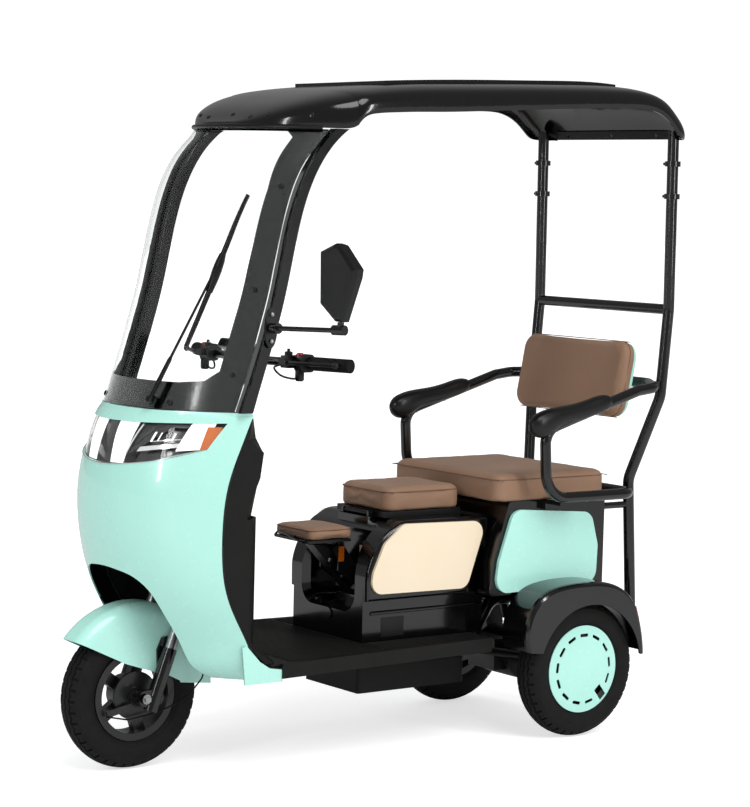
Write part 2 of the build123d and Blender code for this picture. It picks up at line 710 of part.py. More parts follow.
def pole_collars():
    """Clamping collars with wing bolts on the telescoping poles."""
    collars = []
    for x in (POLE_HALF_SPACING, -POLE_HALF_SPACING):
        for z in (1436, 1523):
            y = 1506 + (POLE_TOP - z) * 5 / (POLE_TOP - 1132)
            collar = rod((x, y, z - 7), (x, y, z + 7), POLE_RADIUS + 6)
            collar = collar - rod((x, y, z - 20), (x, y, z + 20), POLE_RADIUS + 0.2)
            bolt = rod((x - 34, y, z), (x - POLE_RADIUS - 2, y, z), 4)
            collars.append(collar + bolt)
    return collars


# ---------------------------------------------------------------- lamps and inner covers
# x, height along the lower and upper edges of the lamp window
WINDOW_LOW = [(0, 758), (82, 763), (163, 776), (248, 807)]
WINDOW_HIGH = [(262, 868), (120, 863), (0, 861)]
LAMP_LOW = 752
LAMP_HIGH = 874
LAMP_HALF_WIDTH = 268
LENS_DEPTH = SHEET + SEAT_GAP    # the lens lies on the apron's inner face
LENS_WALL = 2.5
TRAY_DEPTH = 30


def lamp_window():
    """Cutter of the lamp opening in the apron."""
    right = WINDOW_LOW + WINDOW_HIGH
    left = [(-x, z) for x, z in reversed(right[1:-1])]
    face = make_face(Polyline(*[(x, -300, z) for x, z in right + left], close=True))
    return extrude(face, amount=480, dir=(0, 1, 0))


def bow_band(low, high, half, inset, wall):
    """Strip along the apron's inner side between two heights, cut off at its half width."""
    sections = []
    for z, edge, front in APRON_LEVELS[:4]:
        sections.append(bow_section(z, APRON_HALF_WIDTH - inset, edge, front + inset, wall))
    return loft(sections) & block(-half, half, -200, 200, low, high)


def front_lamp():
    """Clear lens of the lamp band, set back in its window."""
    return bow_band(LAMP_LOW, LAMP_HIGH, LAMP_HALF_WIDTH, LENS_DEPTH, LENS_WALL)


def lamp_tray():
    """Dark tray behind the lens, open to the front."""
    inset = LENS_DEPTH + LENS_WALL + SEAT_GAP
    solid = bow_band(LAMP_LOW, LAMP_HIGH, LAMP_HALF_WIDTH, inset, TRAY_DEPTH)
    room = bow_band(LAMP_LOW + 3, LAMP_HIGH - 3, LAMP_HALF_WIDTH - 3, inset - 1, TRAY_DEPTH - 3)
    return solid - room


def amber_lens():
    """Left indicator behind the outer end of the lamp lens."""
    band = bow_band(802, 858, 252, LENS_DEPTH + LENS_WALL + SEAT_GAP, 12)
    return band & block(232, 252, -100, 300, 800, 860)


# height, y at the apron's edge, y of the side corner, y of the rider's face
LEGSHIELD_LEVELS = [
    (282, 214, 240, 262),
    (330, 160, 172, 200),
    (435, 105, 152, 188),
    (545, 80, 148, 186),
    (645, 81, 151, 190),
    (715, 91, 178, 206),
    (735, 96, 187, 212),
    (796, 119, 196, 218),
    (829, 134, 152, 198),
    (876, 158, 162, 190),
]
LEGSHIELD_HALF = 284.5
SIDE_CORNER_X = 280
FACE_CORNER_X = 240
POCKET_LOW = 333
POCKET_DEPTH = 304
TUNNEL_HALF_LOW = 62
TUNNEL_HALF_HIGH = 42
TUNNEL_OPENING = 10          # how far the tunnel's cavity reaches through the cover


def legshield_section(height, edge, corner, face):
    """Tray-shaped plan section of the inner cover at one height."""
    outer = [(LEGSHIELD_HALF, edge), (SIDE_CORNER_X, corner), (FACE_CORNER_X, face)]
    inner = [(x - SHEET, y - (SHEET if index == 2 else 0)) for index, (x, y) in enumerate(outer)]
    left = [(-x, y) for x, y in reversed(outer)]
    left_inner = [(-x, y) for x, y in inner]
    points = outer + left + left_inner + inner[::-1]
    return make_face(Polyline(*[(x, y, height) for x, y in points], close=True))


def pocket():
    """Left open-topped bin standing out from the inner cover."""
    outer = [(280, 146), (279, 164), (273, 174), (238, 205), (92, 209), (92, 184)]
    inner = [(92 + SHEET, 184), (92 + SHEET, 205), (236, 201), (269, 172), (275, 163), (276, 146)]
    wall = extrude(Pos(0, 0, POCKET_LOW) * make_face(Polyline(*outer, *inner, close=True)), amount=POCKET_DEPTH)
    floor = extrude(Pos(0, 0, POCKET_LOW) * make_face(Polyline(*outer, close=True)), amount=SHEET)
    return wall + floor


def column_tunnel(inset, forward=0):
    """Cover of the steering column, wide below and narrow above, shrunk by an inset."""
    low = [
        (260 - forward, 282 - inset),
        (270 - inset, 282 - inset),
        (264 - inset, 560),
        (268 - inset, 604 - inset),
        (186 - forward, 604 - inset),
        (184 - forward, 545),
        (186 - forward, 435),
        (198 - forward, 330),
    ]
    high = [
        (184 - forward, 590),
        (266 - inset, 590),
        (281 - inset, 740),
        (298 - inset, 850),
        (294 - inset, 878 - inset),
        (184 - forward, 878 - inset),
    ]
    wide = TUNNEL_HALF_LOW - inset
    narrow = TUNNEL_HALF_HIGH - inset
    return side_prism(low, -wide, wide) + side_prism(high, -narrow, narrow)


def legshield(apron):
    """Inner cover behind the given apron, with its deck, column tunnel and two pockets."""
    cover = loft([legshield_section(*level) for level in LEGSHIELD_LEVELS], ruled=True)
    deck_plan = [(SIDE_CORNER_X, 162), (FACE_CORNER_X, 190), (-FACE_CORNER_X, 190), (-SIDE_CORNER_X, 162)]
    deck = extrude(Pos(0, 0, 876 - SHEET) * make_face(Polyline(*deck_plan, close=True)), amount=SHEET)
    bins = pocket() + mirror(pocket(), about=Plane.YZ)
    stem_hole = rod(steering_point(700), steering_point(960), STEERER_RADIUS + 7)
    return cover + deck + bins + column_tunnel(0) - column_tunnel(SHEET, TUNNEL_OPENING) - stem_hole - apron


def dash_cowl():
    """Mint cowl lip that closes the apron's top in front of the screen."""
    sections = []
    for z, edge, front in ((885, 158, -44), (893, 152, -36)):
        sections.append(bow_section(z, APRON_HALF_WIDTH, edge, front, 14))
    return loft(sections)


# ---------------------------------------------------------------- seat boxes
RECESS_BACK = 666
BOX_WALL = 5
# y, height outlines in side view
BOX_PROFILE = [(594, 440), (599, 472), (613, 507), (631, 536), (654, 561), (690, 581), (738, DRIVER_DECK)]
POD_BOTTOM = 388
POD_EDGE = 10
POD_TRIM = [(560, POD_BOTTOM), (924, POD_BOTTOM), (986, 560), (986, 600), (560, 600)]
FRONT_PANEL_OUTLINE = [(600, 408), (607, 462), (641, 536), (702, 584), (972, 578), (912, 404)]
REAR_PANEL_OUTLINE = [(964, 390), (976, 476), (1022, 610), (1290, 590), (1316, 500), (1312, 398)]
FRONT_PANEL_CORNER = 32
REAR_PANEL_CORNER = 38
RECESS_LOW = 362
RECESS_HIGH = 560
RECESS_HALF = 108


def box_side(half, low):
    """Prism of the console's side view with its rounded front top."""
    with BuildLine(Plane.YZ) as outline:
        Line((BOX_FRONT, low), BOX_PROFILE[0])
        Spline(*BOX_PROFILE, tangents=[(0, 1), (1, 0)])
        Line(BOX_PROFILE[-1], (BOX_REAR, DRIVER_DECK))
        Line((BOX_REAR, DRIVER_DECK), (BOX_REAR, low))
        Line((BOX_REAR, low), (BOX_FRONT, low))
    return extrude(make_face(outline.line), amount=half, both=True)


def recess_bevel():
    """Cutter that widens the recess towards the front face."""
    middle = (RECESS_LOW + RECESS_HIGH) / 2
    height = RECESS_HIGH - RECESS_LOW
    faces = []
    for y, wider, corner in ((580, 34, 56), (616, 0, 40)):
        plane = Plane(origin=(0, y, middle), x_dir=(1, 0, 0), z_dir=(0, 1, 0))
        faces.append(plane * RectangleRounded(2 * RECESS_HALF + wider, height + wider, corner))
    return loft(faces)


def front_seat_box():
    """Hollow console under the driver's seat with a folding-seat recess in front."""
    pods = box_side(POD_HALF_WIDTH, POD_BOTTOM) & side_prism(POD_TRIM, -200, 200)
    flanks = pods.faces().sort_by(Axis.X)
    pods = fillet(flanks[0].edges() + flanks[-1].edges(), POD_EDGE)
    outer = box_side(BOX_HALF_WIDTH, FLOOR_HEIGHT) + pods
    room = BOX_HALF_WIDTH - BOX_WALL
    back, top = BOX_REAR - BOX_WALL, DRIVER_DECK - BOX_WALL
    cavity_side = [
        (RECESS_BACK + 10, FLOOR_HEIGHT + 4),
        (RECESS_BACK + 10, 545),
        (716, 572),
        (752, top),
        (back, top),
        (back, FLOOR_HEIGHT + 4),
    ]
    cavity = side_prism(cavity_side, -room, room)
    hatch = block(-84, 84, 740, 930, 500, DRIVER_DECK + 10)
    recess = rounded_side_box(-RECESS_HALF, RECESS_HALF, RECESS_LOW, RECESS_HIGH, 40, 560, RECESS_BACK)
    seat_foot = block(-66, 66, SEAT_HINGE_Y - 14, SEAT_HINGE_Y + 20, 560, DRIVER_DECK)
    cap = rod((6, BOX_FRONT - 4, 337), (6, BOX_FRONT + 20, 337), 15)
    return outer + seat_foot - cavity - hatch - recess - recess_bevel() + cap


def reflector():
    """Amber reflector on the back wall of the folding-seat recess."""
    return block(48, 76, RECESS_BACK - 8, RECESS_BACK - SEAT_GAP, 458, 516)


def side_panels(outline, corner, x0, x1):
    """Matching trim panels on both sides."""
    return both_sides(rounded_side_prism(outline, corner, x0, x1))


def rear_seat_box():
    """Hollow box under the passenger bench."""
    outline = [
        (962, 470),
        (950, REAR_BOX_BOTTOM),
        (REAR_BOX_REAR, REAR_BOX_BOTTOM),
        (REAR_BOX_REAR, REAR_DECK),
        (1012, REAR_DECK),
    ]
    outer = rounded_side_prism(outline, 14, -REAR_BOX_HALF_WIDTH, REAR_BOX_HALF_WIDTH)
    room = REAR_BOX_HALF_WIDTH - BOX_WALL
    low, high = REAR_BOX_BOTTOM + BOX_WALL, REAR_DECK - BOX_WALL
    cavity = block(-room, room, 1035, REAR_BOX_REAR - BOX_WALL, low, high)
    hatch = block(-180, 180, 1060, 1310, 560, REAR_DECK + 10)
    joint = block(-POD_HALF_WIDTH - 2, POD_HALF_WIDTH + 2, 900, BOX_REAR + 0.5, 300, 592)
    return outer - cavity - hatch - joint


# ---------------------------------------------------------------- seats and arms
BACKREST_LEAN = 11
BACKREST_CENTRE = (1391, 945)


def backrest(depth0, depth1, half, height, corner):
    """Rounded slab parallel to the leaning backrest, between two depths."""
    lean = math.radians(BACKREST_LEAN)
    plane = Plane(origin=(0, *BACKREST_CENTRE), x_dir=(1, 0, 0), z_dir=(0, -math.cos(lean), math.sin(lean)))
    return extrude(plane.offset(-depth1) * RectangleRounded(2 * half, height, corner), amount=depth1 - depth0)


ARM_LOOP = [(1377, 644), (1072, 643), (1060, 822), (1380, 918)]
LOOP_BACK = (1486, 930)
ARM_BENDS = [40, 72, 48, 40, 26, 40]


def arm_path():
    """Corners of the left arm's line, from the middle below to the middle behind the backrest."""
    side = [(ARM_HALF_SPACING, y, z) for y, z in ARM_LOOP]
    return [(0, *ARM_LOOP[0])] + side + [(ARM_HALF_SPACING, 1437, 925), (225, *LOOP_BACK), (0, *LOOP_BACK)]


def arm_frame():
    """Tube loops of the armrests, joined behind the backrest, with their brackets."""
    tube = bent_tube(arm_path(), ARM_TUBE_RADIUS, ARM_BENDS)
    plate = block(BENCH_HALF_WIDTH + 2, ARM_HALF_SPACING, 1120, 1210, 622, 634)
    foot = block(REAR_BOX_HALF_WIDTH + SEAT_GAP, BENCH_HALF_WIDTH + 4, 1120, 1210, 606, REAR_DECK)
    strap = block(256, 278, 1462, 1478, 919, 939)
    lug = block(80, 110, 1444, 1480, 922, 938)
    half = tube + plate + foot + strap + lug
    return half + mirror(half, about=Plane.YZ)


def arm_pad():
    """Left moulded pad on the front part of the arm."""
    outline = [
        (1008, 826), (1034, 866), (1082, 882), (1145, 887), (1209, 898), (1264, 912), (1288, 900),
        (1284, 876), (1253, 860), (1182, 847), (1111, 838), (1086, 826), (1070, 804), (1030, 798),
    ]
    pad = rounded_side_prism(outline, 6, ARM_HALF_SPACING - 24, ARM_HALF_SPACING + 24)
    return pad - bent_tube(arm_path(), ARM_TUBE_RADIUS + 0.2, ARM_BENDS)


SEAT_HINGE_Y = 683
SEAT_HINGE_Z = DRIVER_DECK + 8
SEAT_PIN_RADIUS = 3


def seat_hinge():
    """Hinge pin of the driver's seat with the two ears that hold it."""
    hinge = cross_tube(64, SEAT_HINGE_Y, SEAT_HINGE_Z, SEAT_PIN_RADIUS)
    for side in (1, -1):
        x0, x1 = sorted((side * 52, side * 60))
        low, high = DRIVER_DECK + SEAT_GAP, SEAT_HINGE_Z + 6
        hinge = hinge + block(x0, x1, SEAT_HINGE_Y - 8, SEAT_HINGE_Y + 5, low, high)
    return hinge


def driver_seat_base():
    """Base plate of the driver's seat with its hinge knuckle."""
    top = DRIVER_SEAT_TOP - DRIVER_CUSHION - SEAT_GAP
    plate = block(-104, 104, SEAT_HINGE_Y + 10, 944, DRIVER_DECK + SEAT_GAP, top)
    knuckle = cross_tube(48, SEAT_HINGE_Y, SEAT_HINGE_Z, 6.5)
    neck = block(-48, 48, SEAT_HINGE_Y, SEAT_HINGE_Y + 12, SEAT_HINGE_Z - 5, SEAT_HINGE_Z + 5)
    bore = cross_tube(60, SEAT_HINGE_Y, SEAT_HINGE_Z, SEAT_PIN_RADIUS + SHAFT_CLEARANCE)
    return plate + knuckle + neck - bore


CHILD_HINGE_Y = 604
CHILD_HINGE_Z = 522
CHILD_PIN_RADIUS = 4


def child_seat_base():
    """Folding base plate of the child's seat with its hinge knuckle."""
    half = CHILD_SEAT_HALF_WIDTH - 4
    top = CHILD_SEAT_TOP - CHILD_CUSHION
    plate = block(-half, half, CHILD_SEAT_FRONT + 4, CHILD_SEAT_REAR - 10, top - 7, top)
    knuckle = cross_tube(30, CHILD_HINGE_Y, CHILD_HINGE_Z, 9)
    neck = block(-30, 30, CHILD_HINGE_Y - 9, CHILD_HINGE_Y + 4, CHILD_HINGE_Z, top - 4)
    bore = cross_tube(60, CHILD_HINGE_Y, CHILD_HINGE_Z, CHILD_PIN_RADIUS + SHAFT_CLEARANCE)
    return plate + knuckle + neck - bore


def child_seat_bracket():
    """Slanted support arm in the recess with the hinge pin of the child's seat."""
    wall = RECESS_BACK - SEAT_GAP
    arm = side_prism([(wall, 380), (wall, 430), (566, 519), (532, 519)], -20, 20)
    pin = cross_tube(48, CHILD_HINGE_Y, CHILD_HINGE_Z, CHILD_PIN_RADIUS)
    ears = []
    for side in (1, -1):
        ear = side_prism([(596, 452), (wall, 400), (wall, 450), (612, 516), (608, 528), (598, 529)], 36, 42)
        ears.append(ear if side > 0 else mirror(ear, about=Plane.YZ))
    bridge = block(-42, 42, 650, wall, 400, 430)
    return arm + pin + ears[0] + ears[1] + bridge


# ---------------------------------------------------------------- rear fenders and lamps
# y, height along the fender's side view
FENDER_CROWN = [
    (1000, 250), (993, 300), (1008, 352), (1047, 394), (1110, 414), (1195, 419),
    (1280, 411), (1345, 380), (1388, 312), (1408, 214),
]


def fender_section(x, inset):
    """Side view of the fender at one x, drawn in towards the wheel's axle."""
    points = []
    for y, z in FENDER_CROWN:
        arm = Vector(0, y - WHEELBASE, z - TYRE_RADIUS)
        points.append(Vector(x, WHEELBASE, TYRE_RADIUS) + arm * (1 - inset / arm.length))
    return make_face([Spline(*points), Line(points[-1], points[0])])


def rear_fender():
    """Left mudguard, hollow over the wheel and open to the outside inside its lip."""
    x0 = REAR_BOX_HALF_WIDTH + PANEL_DEPTH + SEAT_GAP
    x1 = 334
    rounding = [(x1 - 14, 0), (x1 - 8, 1.5), (x1 - 3, 5), (x1, 11)]
    solid = loft([fender_section(x, inset) for x, inset in [(x0, 0)] + rounding], ruled=True)
    well = Pos(x0 - 5, WHEELBASE, TYRE_RADIUS) * ring(0, x1 - x0, 0, 196)
    mouth = Pos(x0 - 5, WHEELBASE, TYRE_RADIUS) * ring(0, 200, 0, 176)
    return solid - well - mouth


def tail_lamp():
    """Left tail lamp on the back of the fender."""
    face = [(1382, 338), (1394, 303), (1402, 266)]
    return side_prism(face + [(1407, 267), (1399, 305), (1387, 340)], 250, 316)


# ---------------------------------------------------------------- mirror, wiper, small parts
MIRROR_BASE = (293, 194, 1097)


def mirror_arm():
    """Bracket on the pillar, stalk and ball joint of the mirror."""
    x, y, z = MIRROR_BASE
    plate_plane = Plane(origin=(x + SEAT_GAP, y, z), x_dir=(0, 1, 0), z_dir=(1, 0, 0))
    plate = extrude(plate_plane * Ellipse(15, 46), amount=6)
    boss = rod((x + 1, y, z), (x + 38, y, z), 13)
    stalk = rod((x + 30, y, z), (512, 246, 1102), 6)
    sleeve = rod((490, 240, 1102), (524, 249, 1103), 12)
    post = rod((510, 245, 1096), (512, 245, 1121), 8)
    return plate + boss + stalk + sleeve + post


def mirror_head():
    """Head of the mirror, a bevelled plate with six sides."""
    outline = [
        (434, 1284), (492, 1304), (516, 1300), (579, 1246),
        (575, 1226), (526, 1122), (498, 1122), (438, 1160),
    ]
    face = make_face(Polyline(*[(px, 232, pz) for px, pz in outline], close=True))
    shell = extrude(face, amount=26, dir=(0, 1, 0))
    return fillet(shell.edges().group_by(Axis.Y)[0], 12)


def mirror_glass():
    """Glass on the rider's side of the mirror."""
    outline = [
        (440, 1280), (493, 1297), (513, 1293), (571, 1244),
        (568, 1228), (522, 1129), (502, 1129), (444, 1163),
    ]
    face = make_face(Polyline(*[(px, 258.2, pz) for px, pz in outline], close=True))
    return extrude(face, amount=2, dir=(0, 1, 0))


def on_screen(x, height, clearance):
    """Point in front of the windshield's outer face."""
    return (x, screen_y(x, height) - clearance, height)


def wiper():
    """Pivot, arm and blade lying on the windshield."""
    pivot = rod(on_screen(111, 912, 24), on_screen(109, 908, 2.8), 9)
    arm = rod(on_screen(110, 911, 18), on_screen(180, 1240, 22), 4)
    blade = rod(on_screen(154, 1042, 9), on_screen(207, 1413, 12), 5)
    joint = rod(on_screen(180, 1232, 24), on_screen(180, 1232, 8), 6)
    return pivot + arm + blade + joint


NODES = {}


def build():
    """Makes every node."""
    NODES["front_tyre"] = Pos(*FRONT_AXLE) * tyre()
    NODES["front_rim"] = Pos(*FRONT_AXLE) * front_wheel_rim()
    for name, side in (("left", 1), ("right", -1)):
        NODES[f"rear_tyre_{name}"] = rear_side(tyre(), side)
        NODES[f"rear_rim_{name}"] = rear_side(rear_wheel_rim(), side)
        NODES[f"hubcap_{name}"] = rear_side(hubcap(), side)
    NODES["fork"] = fork()
    NODES["brake_plate"] = brake_plate()
    NODES["brake_cable"] = brake_cable()
    NODES["front_fender"] = front_fender()
    NODES["handlebar"] = handlebar()
    NODES["grips"] = Compound(children=both_sides(grip()))
    NODES["bar_controls"] = Compound(children=both_sides(bar_controls()))
    NODES["chassis"] = chassis()
    NODES["rear_axle"] = rear_axle()
    NODES["shock_absorbers"] = Compound(children=both_sides(shock_absorber()))
    NODES["footboard"] = footboard()
    NODES["battery_box"] = battery_box()
    apron = front_apron()
    NODES["front_apron"] = apron
    NODES["dash_cowl"] = dash_cowl()
    NODES["front_lamp"] = front_lamp()
    NODES["lamp_tray"] = lamp_tray()
    NODES["amber_lenses"] = Compound(children=both_sides(amber_lens()) + [reflector()])
    NODES["legshield"] = legshield(apron)
    NODES["windshield"] = windshield()
    NODES["windshield_border"] = windshield_border()
    NODES["pillars"] = Compound(children=both_sides(pillar()))
    NODES["front_visor"] = front_visor()
    canopy = roof()
    NODES["roof"] = canopy
    NODES["roof_panel"] = roof_panel(canopy)
    NODES["rear_valance"] = rear_valance()
    NODES["rear_hoop"] = rear_hoop()
    NODES["pole_collars"] = Compound(children=pole_collars())
    NODES["front_seat_box"] = front_seat_box()
    NODES["rear_seat_box"] = rear_seat_box()
    front_panels = side_panels(FRONT_PANEL_OUTLINE, FRONT_PANEL_CORNER, POD_HALF_WIDTH + SEAT_GAP, POD_HALF_WIDTH + 8)
    NODES["front_side_panels"] = Compound(children=front_panels)
    skin = REAR_BOX_HALF_WIDTH
    rear_panels = side_panels(REAR_PANEL_OUTLINE, REAR_PANEL_CORNER, skin + SEAT_GAP, skin + PANEL_DEPTH)
    NODES["rear_side_panels"] = Compound(children=rear_panels)
    NODES["seat_hinge"] = seat_hinge()
    NODES["driver_seat_base"] = driver_seat_base()
    NODES["driver_cushion"] = cushion(
        DRIVER_SEAT_HALF_WIDTH, DRIVER_SEAT_FRONT, DRIVER_SEAT_REAR, DRIVER_SEAT_TOP - DRIVER_CUSHION,
        DRIVER_SEAT_TOP, 34, 18,
    )
    NODES["bench_cushion"] = cushion(
        BENCH_HALF_WIDTH, BENCH_FRONT, BENCH_REAR, REAR_DECK + SEAT_GAP, BENCH_TOP, 34, 20
    )
    NODES["backrest_cushion"] = fillet(
        backrest(0, 44, 222, 220, 50).edges().group_by(Axis.Y)[0], 16
    )
    NODES["backrest_shell"] = backrest(44 + SEAT_GAP, 53, 208, 202, 44)
    NODES["arm_frame"] = arm_frame()
    NODES["arm_pads"] = Compound(children=both_sides(arm_pad()))
    NODES["child_seat_base"] = child_seat_base()
    NODES["child_cushion"] = cushion(
        CHILD_SEAT_HALF_WIDTH, CHILD_SEAT_FRONT, CHILD_SEAT_REAR, CHILD_SEAT_TOP - CHILD_CUSHION + SEAT_GAP,
        CHILD_SEAT_TOP, 20, 10
    )
    NODES["child_seat_bracket"] = child_seat_bracket()
    NODES["rear_fenders"] = Compound(children=both_sides(rear_fender()))
    NODES["tail_lamps"] = Compound(children=both_sides(tail_lamp()))
    NODES["mirror_arm"] = mirror_arm()
    NODES["mirror_head"] = mirror_head()
    NODES["mirror_glass"] = mirror_glass()
    NODES["wiper"] = wiper()


if __name__ == "__main__":
    os.makedirs("parts", exist_ok=True)
    build()
    for name, shape in NODES.items():
        export_step(shape, f"parts/{name}.step")
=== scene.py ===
"""Studio scene of an electric passenger tricycle with a canopy, dressed over its CAD frame."""
import logging
import math
from collections.abc import Callable, Iterable, Sequence
from dataclasses import dataclass, field
from enum import Enum

import bmesh
import bpy
from mathutils import Matrix, Vector
from mathutils.bvhtree import BVHTree


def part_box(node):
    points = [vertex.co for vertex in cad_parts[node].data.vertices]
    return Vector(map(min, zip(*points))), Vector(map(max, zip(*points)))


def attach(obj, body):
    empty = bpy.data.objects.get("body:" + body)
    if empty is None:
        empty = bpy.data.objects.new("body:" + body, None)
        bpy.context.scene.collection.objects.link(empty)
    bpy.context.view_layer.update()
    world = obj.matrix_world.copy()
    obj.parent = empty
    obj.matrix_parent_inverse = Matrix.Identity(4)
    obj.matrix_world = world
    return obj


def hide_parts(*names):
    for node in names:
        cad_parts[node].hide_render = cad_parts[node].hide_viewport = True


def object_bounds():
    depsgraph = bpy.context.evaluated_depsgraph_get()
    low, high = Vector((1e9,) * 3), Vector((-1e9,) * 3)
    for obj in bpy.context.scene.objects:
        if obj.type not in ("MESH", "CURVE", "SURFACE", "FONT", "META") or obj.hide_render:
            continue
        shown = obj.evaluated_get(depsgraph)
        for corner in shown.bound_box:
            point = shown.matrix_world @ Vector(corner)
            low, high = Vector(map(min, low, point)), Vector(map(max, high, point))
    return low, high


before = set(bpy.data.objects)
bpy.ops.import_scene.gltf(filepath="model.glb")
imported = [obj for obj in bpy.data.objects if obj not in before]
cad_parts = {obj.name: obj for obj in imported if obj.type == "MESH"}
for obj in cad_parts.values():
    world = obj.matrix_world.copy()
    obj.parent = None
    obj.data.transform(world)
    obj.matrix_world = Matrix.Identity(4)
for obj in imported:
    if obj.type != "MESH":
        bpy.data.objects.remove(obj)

log = logging.getLogger("tricycle")
CAD_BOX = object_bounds()
MM = 0.001
Point = tuple[float, float, float]


class Side(Enum):
    """Side of the vehicle, as the sign of X."""

    LEFT = 1
    RIGHT = -1


# ------------------------------------------------------------------ nodes and meshes
def linear(code: str, alpha: float = 1.0) -> tuple[float, float, float, float]:
    """Turns an sRGB hex colour into linear values.

    Args:
        code: Six hex digits with a leading hash.
        alpha: Value for the fourth channel.

    Returns:
        Linear red, green and blue, and alpha.
    """
    values = [int(code[i:i + 2], 16) / 255 for i in (1, 3, 5)]
    red, green, blue = (v / 12.92 if v <= 0.04045 else ((v + 0.055) / 1.055) ** 2.4 for v in values)
    return red, green, blue, alpha


def put(tree: bpy.types.NodeTree, kind: str, inputs: dict | None = None,
        **settings: object) -> bpy.types.Node:
    """Adds a node with its settings and links.

    Args:
        tree: Tree that gets the node.
        kind: Blender's type name of the node.
        inputs: Socket name or number to a value, or to another node's output.
        settings: Attributes of the node.

    Returns:
        The new node.
    """
    made = tree.nodes.new(kind)
    for name, value in settings.items():
        setattr(made, name, value)
    for key, value in (inputs or {}).items():
        if isinstance(value, bpy.types.NodeSocket):
            tree.links.new(value, made.inputs[key])
        else:
            made.inputs[key].default_value = value
    return made


def mesh_piece(name: str, points: Iterable[Sequence[float]],
               faces: Iterable[Sequence[int]]) -> bpy.types.Object:
    """Makes a mesh object at the origin.

    Args:
        name: Name of the object.
        points: Vertices in metres.
        faces: Vertex numbers of each face.

    Returns:
        The linked object.
    """
    mesh = bpy.data.meshes.new(name)
    mesh.from_pydata([tuple(p) for p in points], [], [tuple(f) for f in faces])
    mesh.update()
    made = bpy.data.objects.new(name, mesh)
    bpy.context.scene.collection.objects.link(made)
    return made


def outward(piece: bpy.types.Object) -> None:
    """Merges doubles and turns the faces of a closed mesh outwards."""
    work = bmesh.new()
    work.from_mesh(piece.data)
    bmesh.ops.remove_doubles(work, verts=work.verts, dist=1e-5)
    bmesh.ops.recalc_face_normals(work, faces=work.faces)
    work.to_mesh(piece.data)
    work.free()


def smooth(piece: bpy.types.Object, angle: float = 40.0) -> None:
    """Shades a mesh smooth, with sharp edges above an angle in degrees."""
    piece.data.shade_smooth()
    piece.data.set_sharp_from_angle(angle=math.radians(angle))


def bevelled(piece: bpy.types.Object, width: float, segments: int = 2, angle: float = 35.0) -> None:
    """Adds a bevel modifier, width in metres."""
    bevel = piece.modifiers.new("rounded edges", "BEVEL")
    bevel.width = width
    bevel.segments = segments
    bevel.limit_method = "ANGLE"
    bevel.angle_limit = math.radians(angle)


def subdivided(piece: bpy.types.Object, levels: int = 1) -> None:
    """Adds a subdivision surface with equal view and render levels."""
    surface = piece.modifiers.new("subdivision", "SUBSURF")
    surface.levels = levels
    surface.render_levels = levels


def settled(piece: bpy.types.Object) -> None:
    """Applies every modifier of a piece, so that its mesh is plain."""
    graph = bpy.context.evaluated_depsgraph_get()
    mesh = bpy.data.meshes.new_from_object(piece.evaluated_get(graph))
    piece.modifiers.clear()
    piece.data = mesh


def joined(name: str, parts: Sequence[bpy.types.Object]) -> bpy.types.Object:
    """Joins the meshes of several objects into one and drops the originals.

    Args:
        name: Name of the joined object.
        parts: Objects at the origin.

    Returns:
        The joined object.
    """
    work = bmesh.new()
    slots: list[bpy.types.Material] = []
    for part in parts:
        settled(part)
        mesh = part.data
        numbers = []
        for material in mesh.materials:
            if material not in slots:
                slots.append(material)
            numbers.append(slots.index(material))
        before = len(work.faces)
        work.from_mesh(mesh)
        work.faces.ensure_lookup_table()
        for face in work.faces[before:]:
            face.material_index = numbers[face.material_index] if numbers else 0
        bpy.data.objects.remove(part)
    mesh = bpy.data.meshes.new(name)
    work.to_mesh(mesh)
    work.free()
    made = bpy.data.objects.new(name, mesh)
    bpy.context.scene.collection.objects.link(made)
    for material in slots:
        made.data.materials.append(material)
    return made


def loft_rings(name: str, rings: Sequence[Sequence[Sequence[float]]], capped: bool = True,
               closed: bool = True) -> bpy.types.Object:
    """Skins a row of rings that have equal numbers of points.

    Args:
        name: Name of the object.
        rings: Points of each ring in metres.
        capped: Whether the first and last ring get an end face.
        closed: Whether each ring runs round to its start.

    Returns:
        The skinned object.
    """
    count = len(rings[0])
    points = [p for ring in rings for p in ring]
    faces = []
    last = count if closed else count - 1
    for row in range(len(rings) - 1):
        for i in range(last):
            j = (i + 1) % count
            faces.append((row * count + i, row * count + j, (row + 1) * count + j, (row + 1) * count + i))
    if capped:
        faces.append(tuple(range(count)))
        faces.append(tuple((len(rings) - 1) * count + i for i in range(count)))
    made = mesh_piece(name, points, faces)
    outward(made)
    return made


def tube(name: str, line: Sequence[Sequence[float]], radius: float | Sequence[float], sides: int = 12,
         flat: float = 1.0, up: Vector = Vector((0, 0, 1))) -> bpy.types.Object:
    """Sweeps a round or flattened section along a smooth line.

    Args:
        name: Name of the object.
        line: Points of the line in metres.
        radius: One radius, or one for each point.
        sides: Points round the section.
        flat: Height of the section over its width.
        up: Direction that the section's height keeps to.

    Returns:
        The swept object.
    """
    path = [Vector(p) for p in line]
    rings = []
    for i, point in enumerate(path):
        ahead = path[min(i + 1, len(path) - 1)] - path[max(i - 1, 0)]
        along = ahead.normalized()
        across = along.cross(up).normalized()
        height = across.cross(along).normalized()
        size = radius[i] if isinstance(radius, Sequence) else radius
        ring = []
        for step in range(sides):
            turn = 2 * math.pi * step / sides
            ring.append(point + across * math.cos(turn) * size + height * math.sin(turn) * size * flat)
        rings.append(ring)
    made = loft_rings(name, rings)
    smooth(made, 50)
    return made


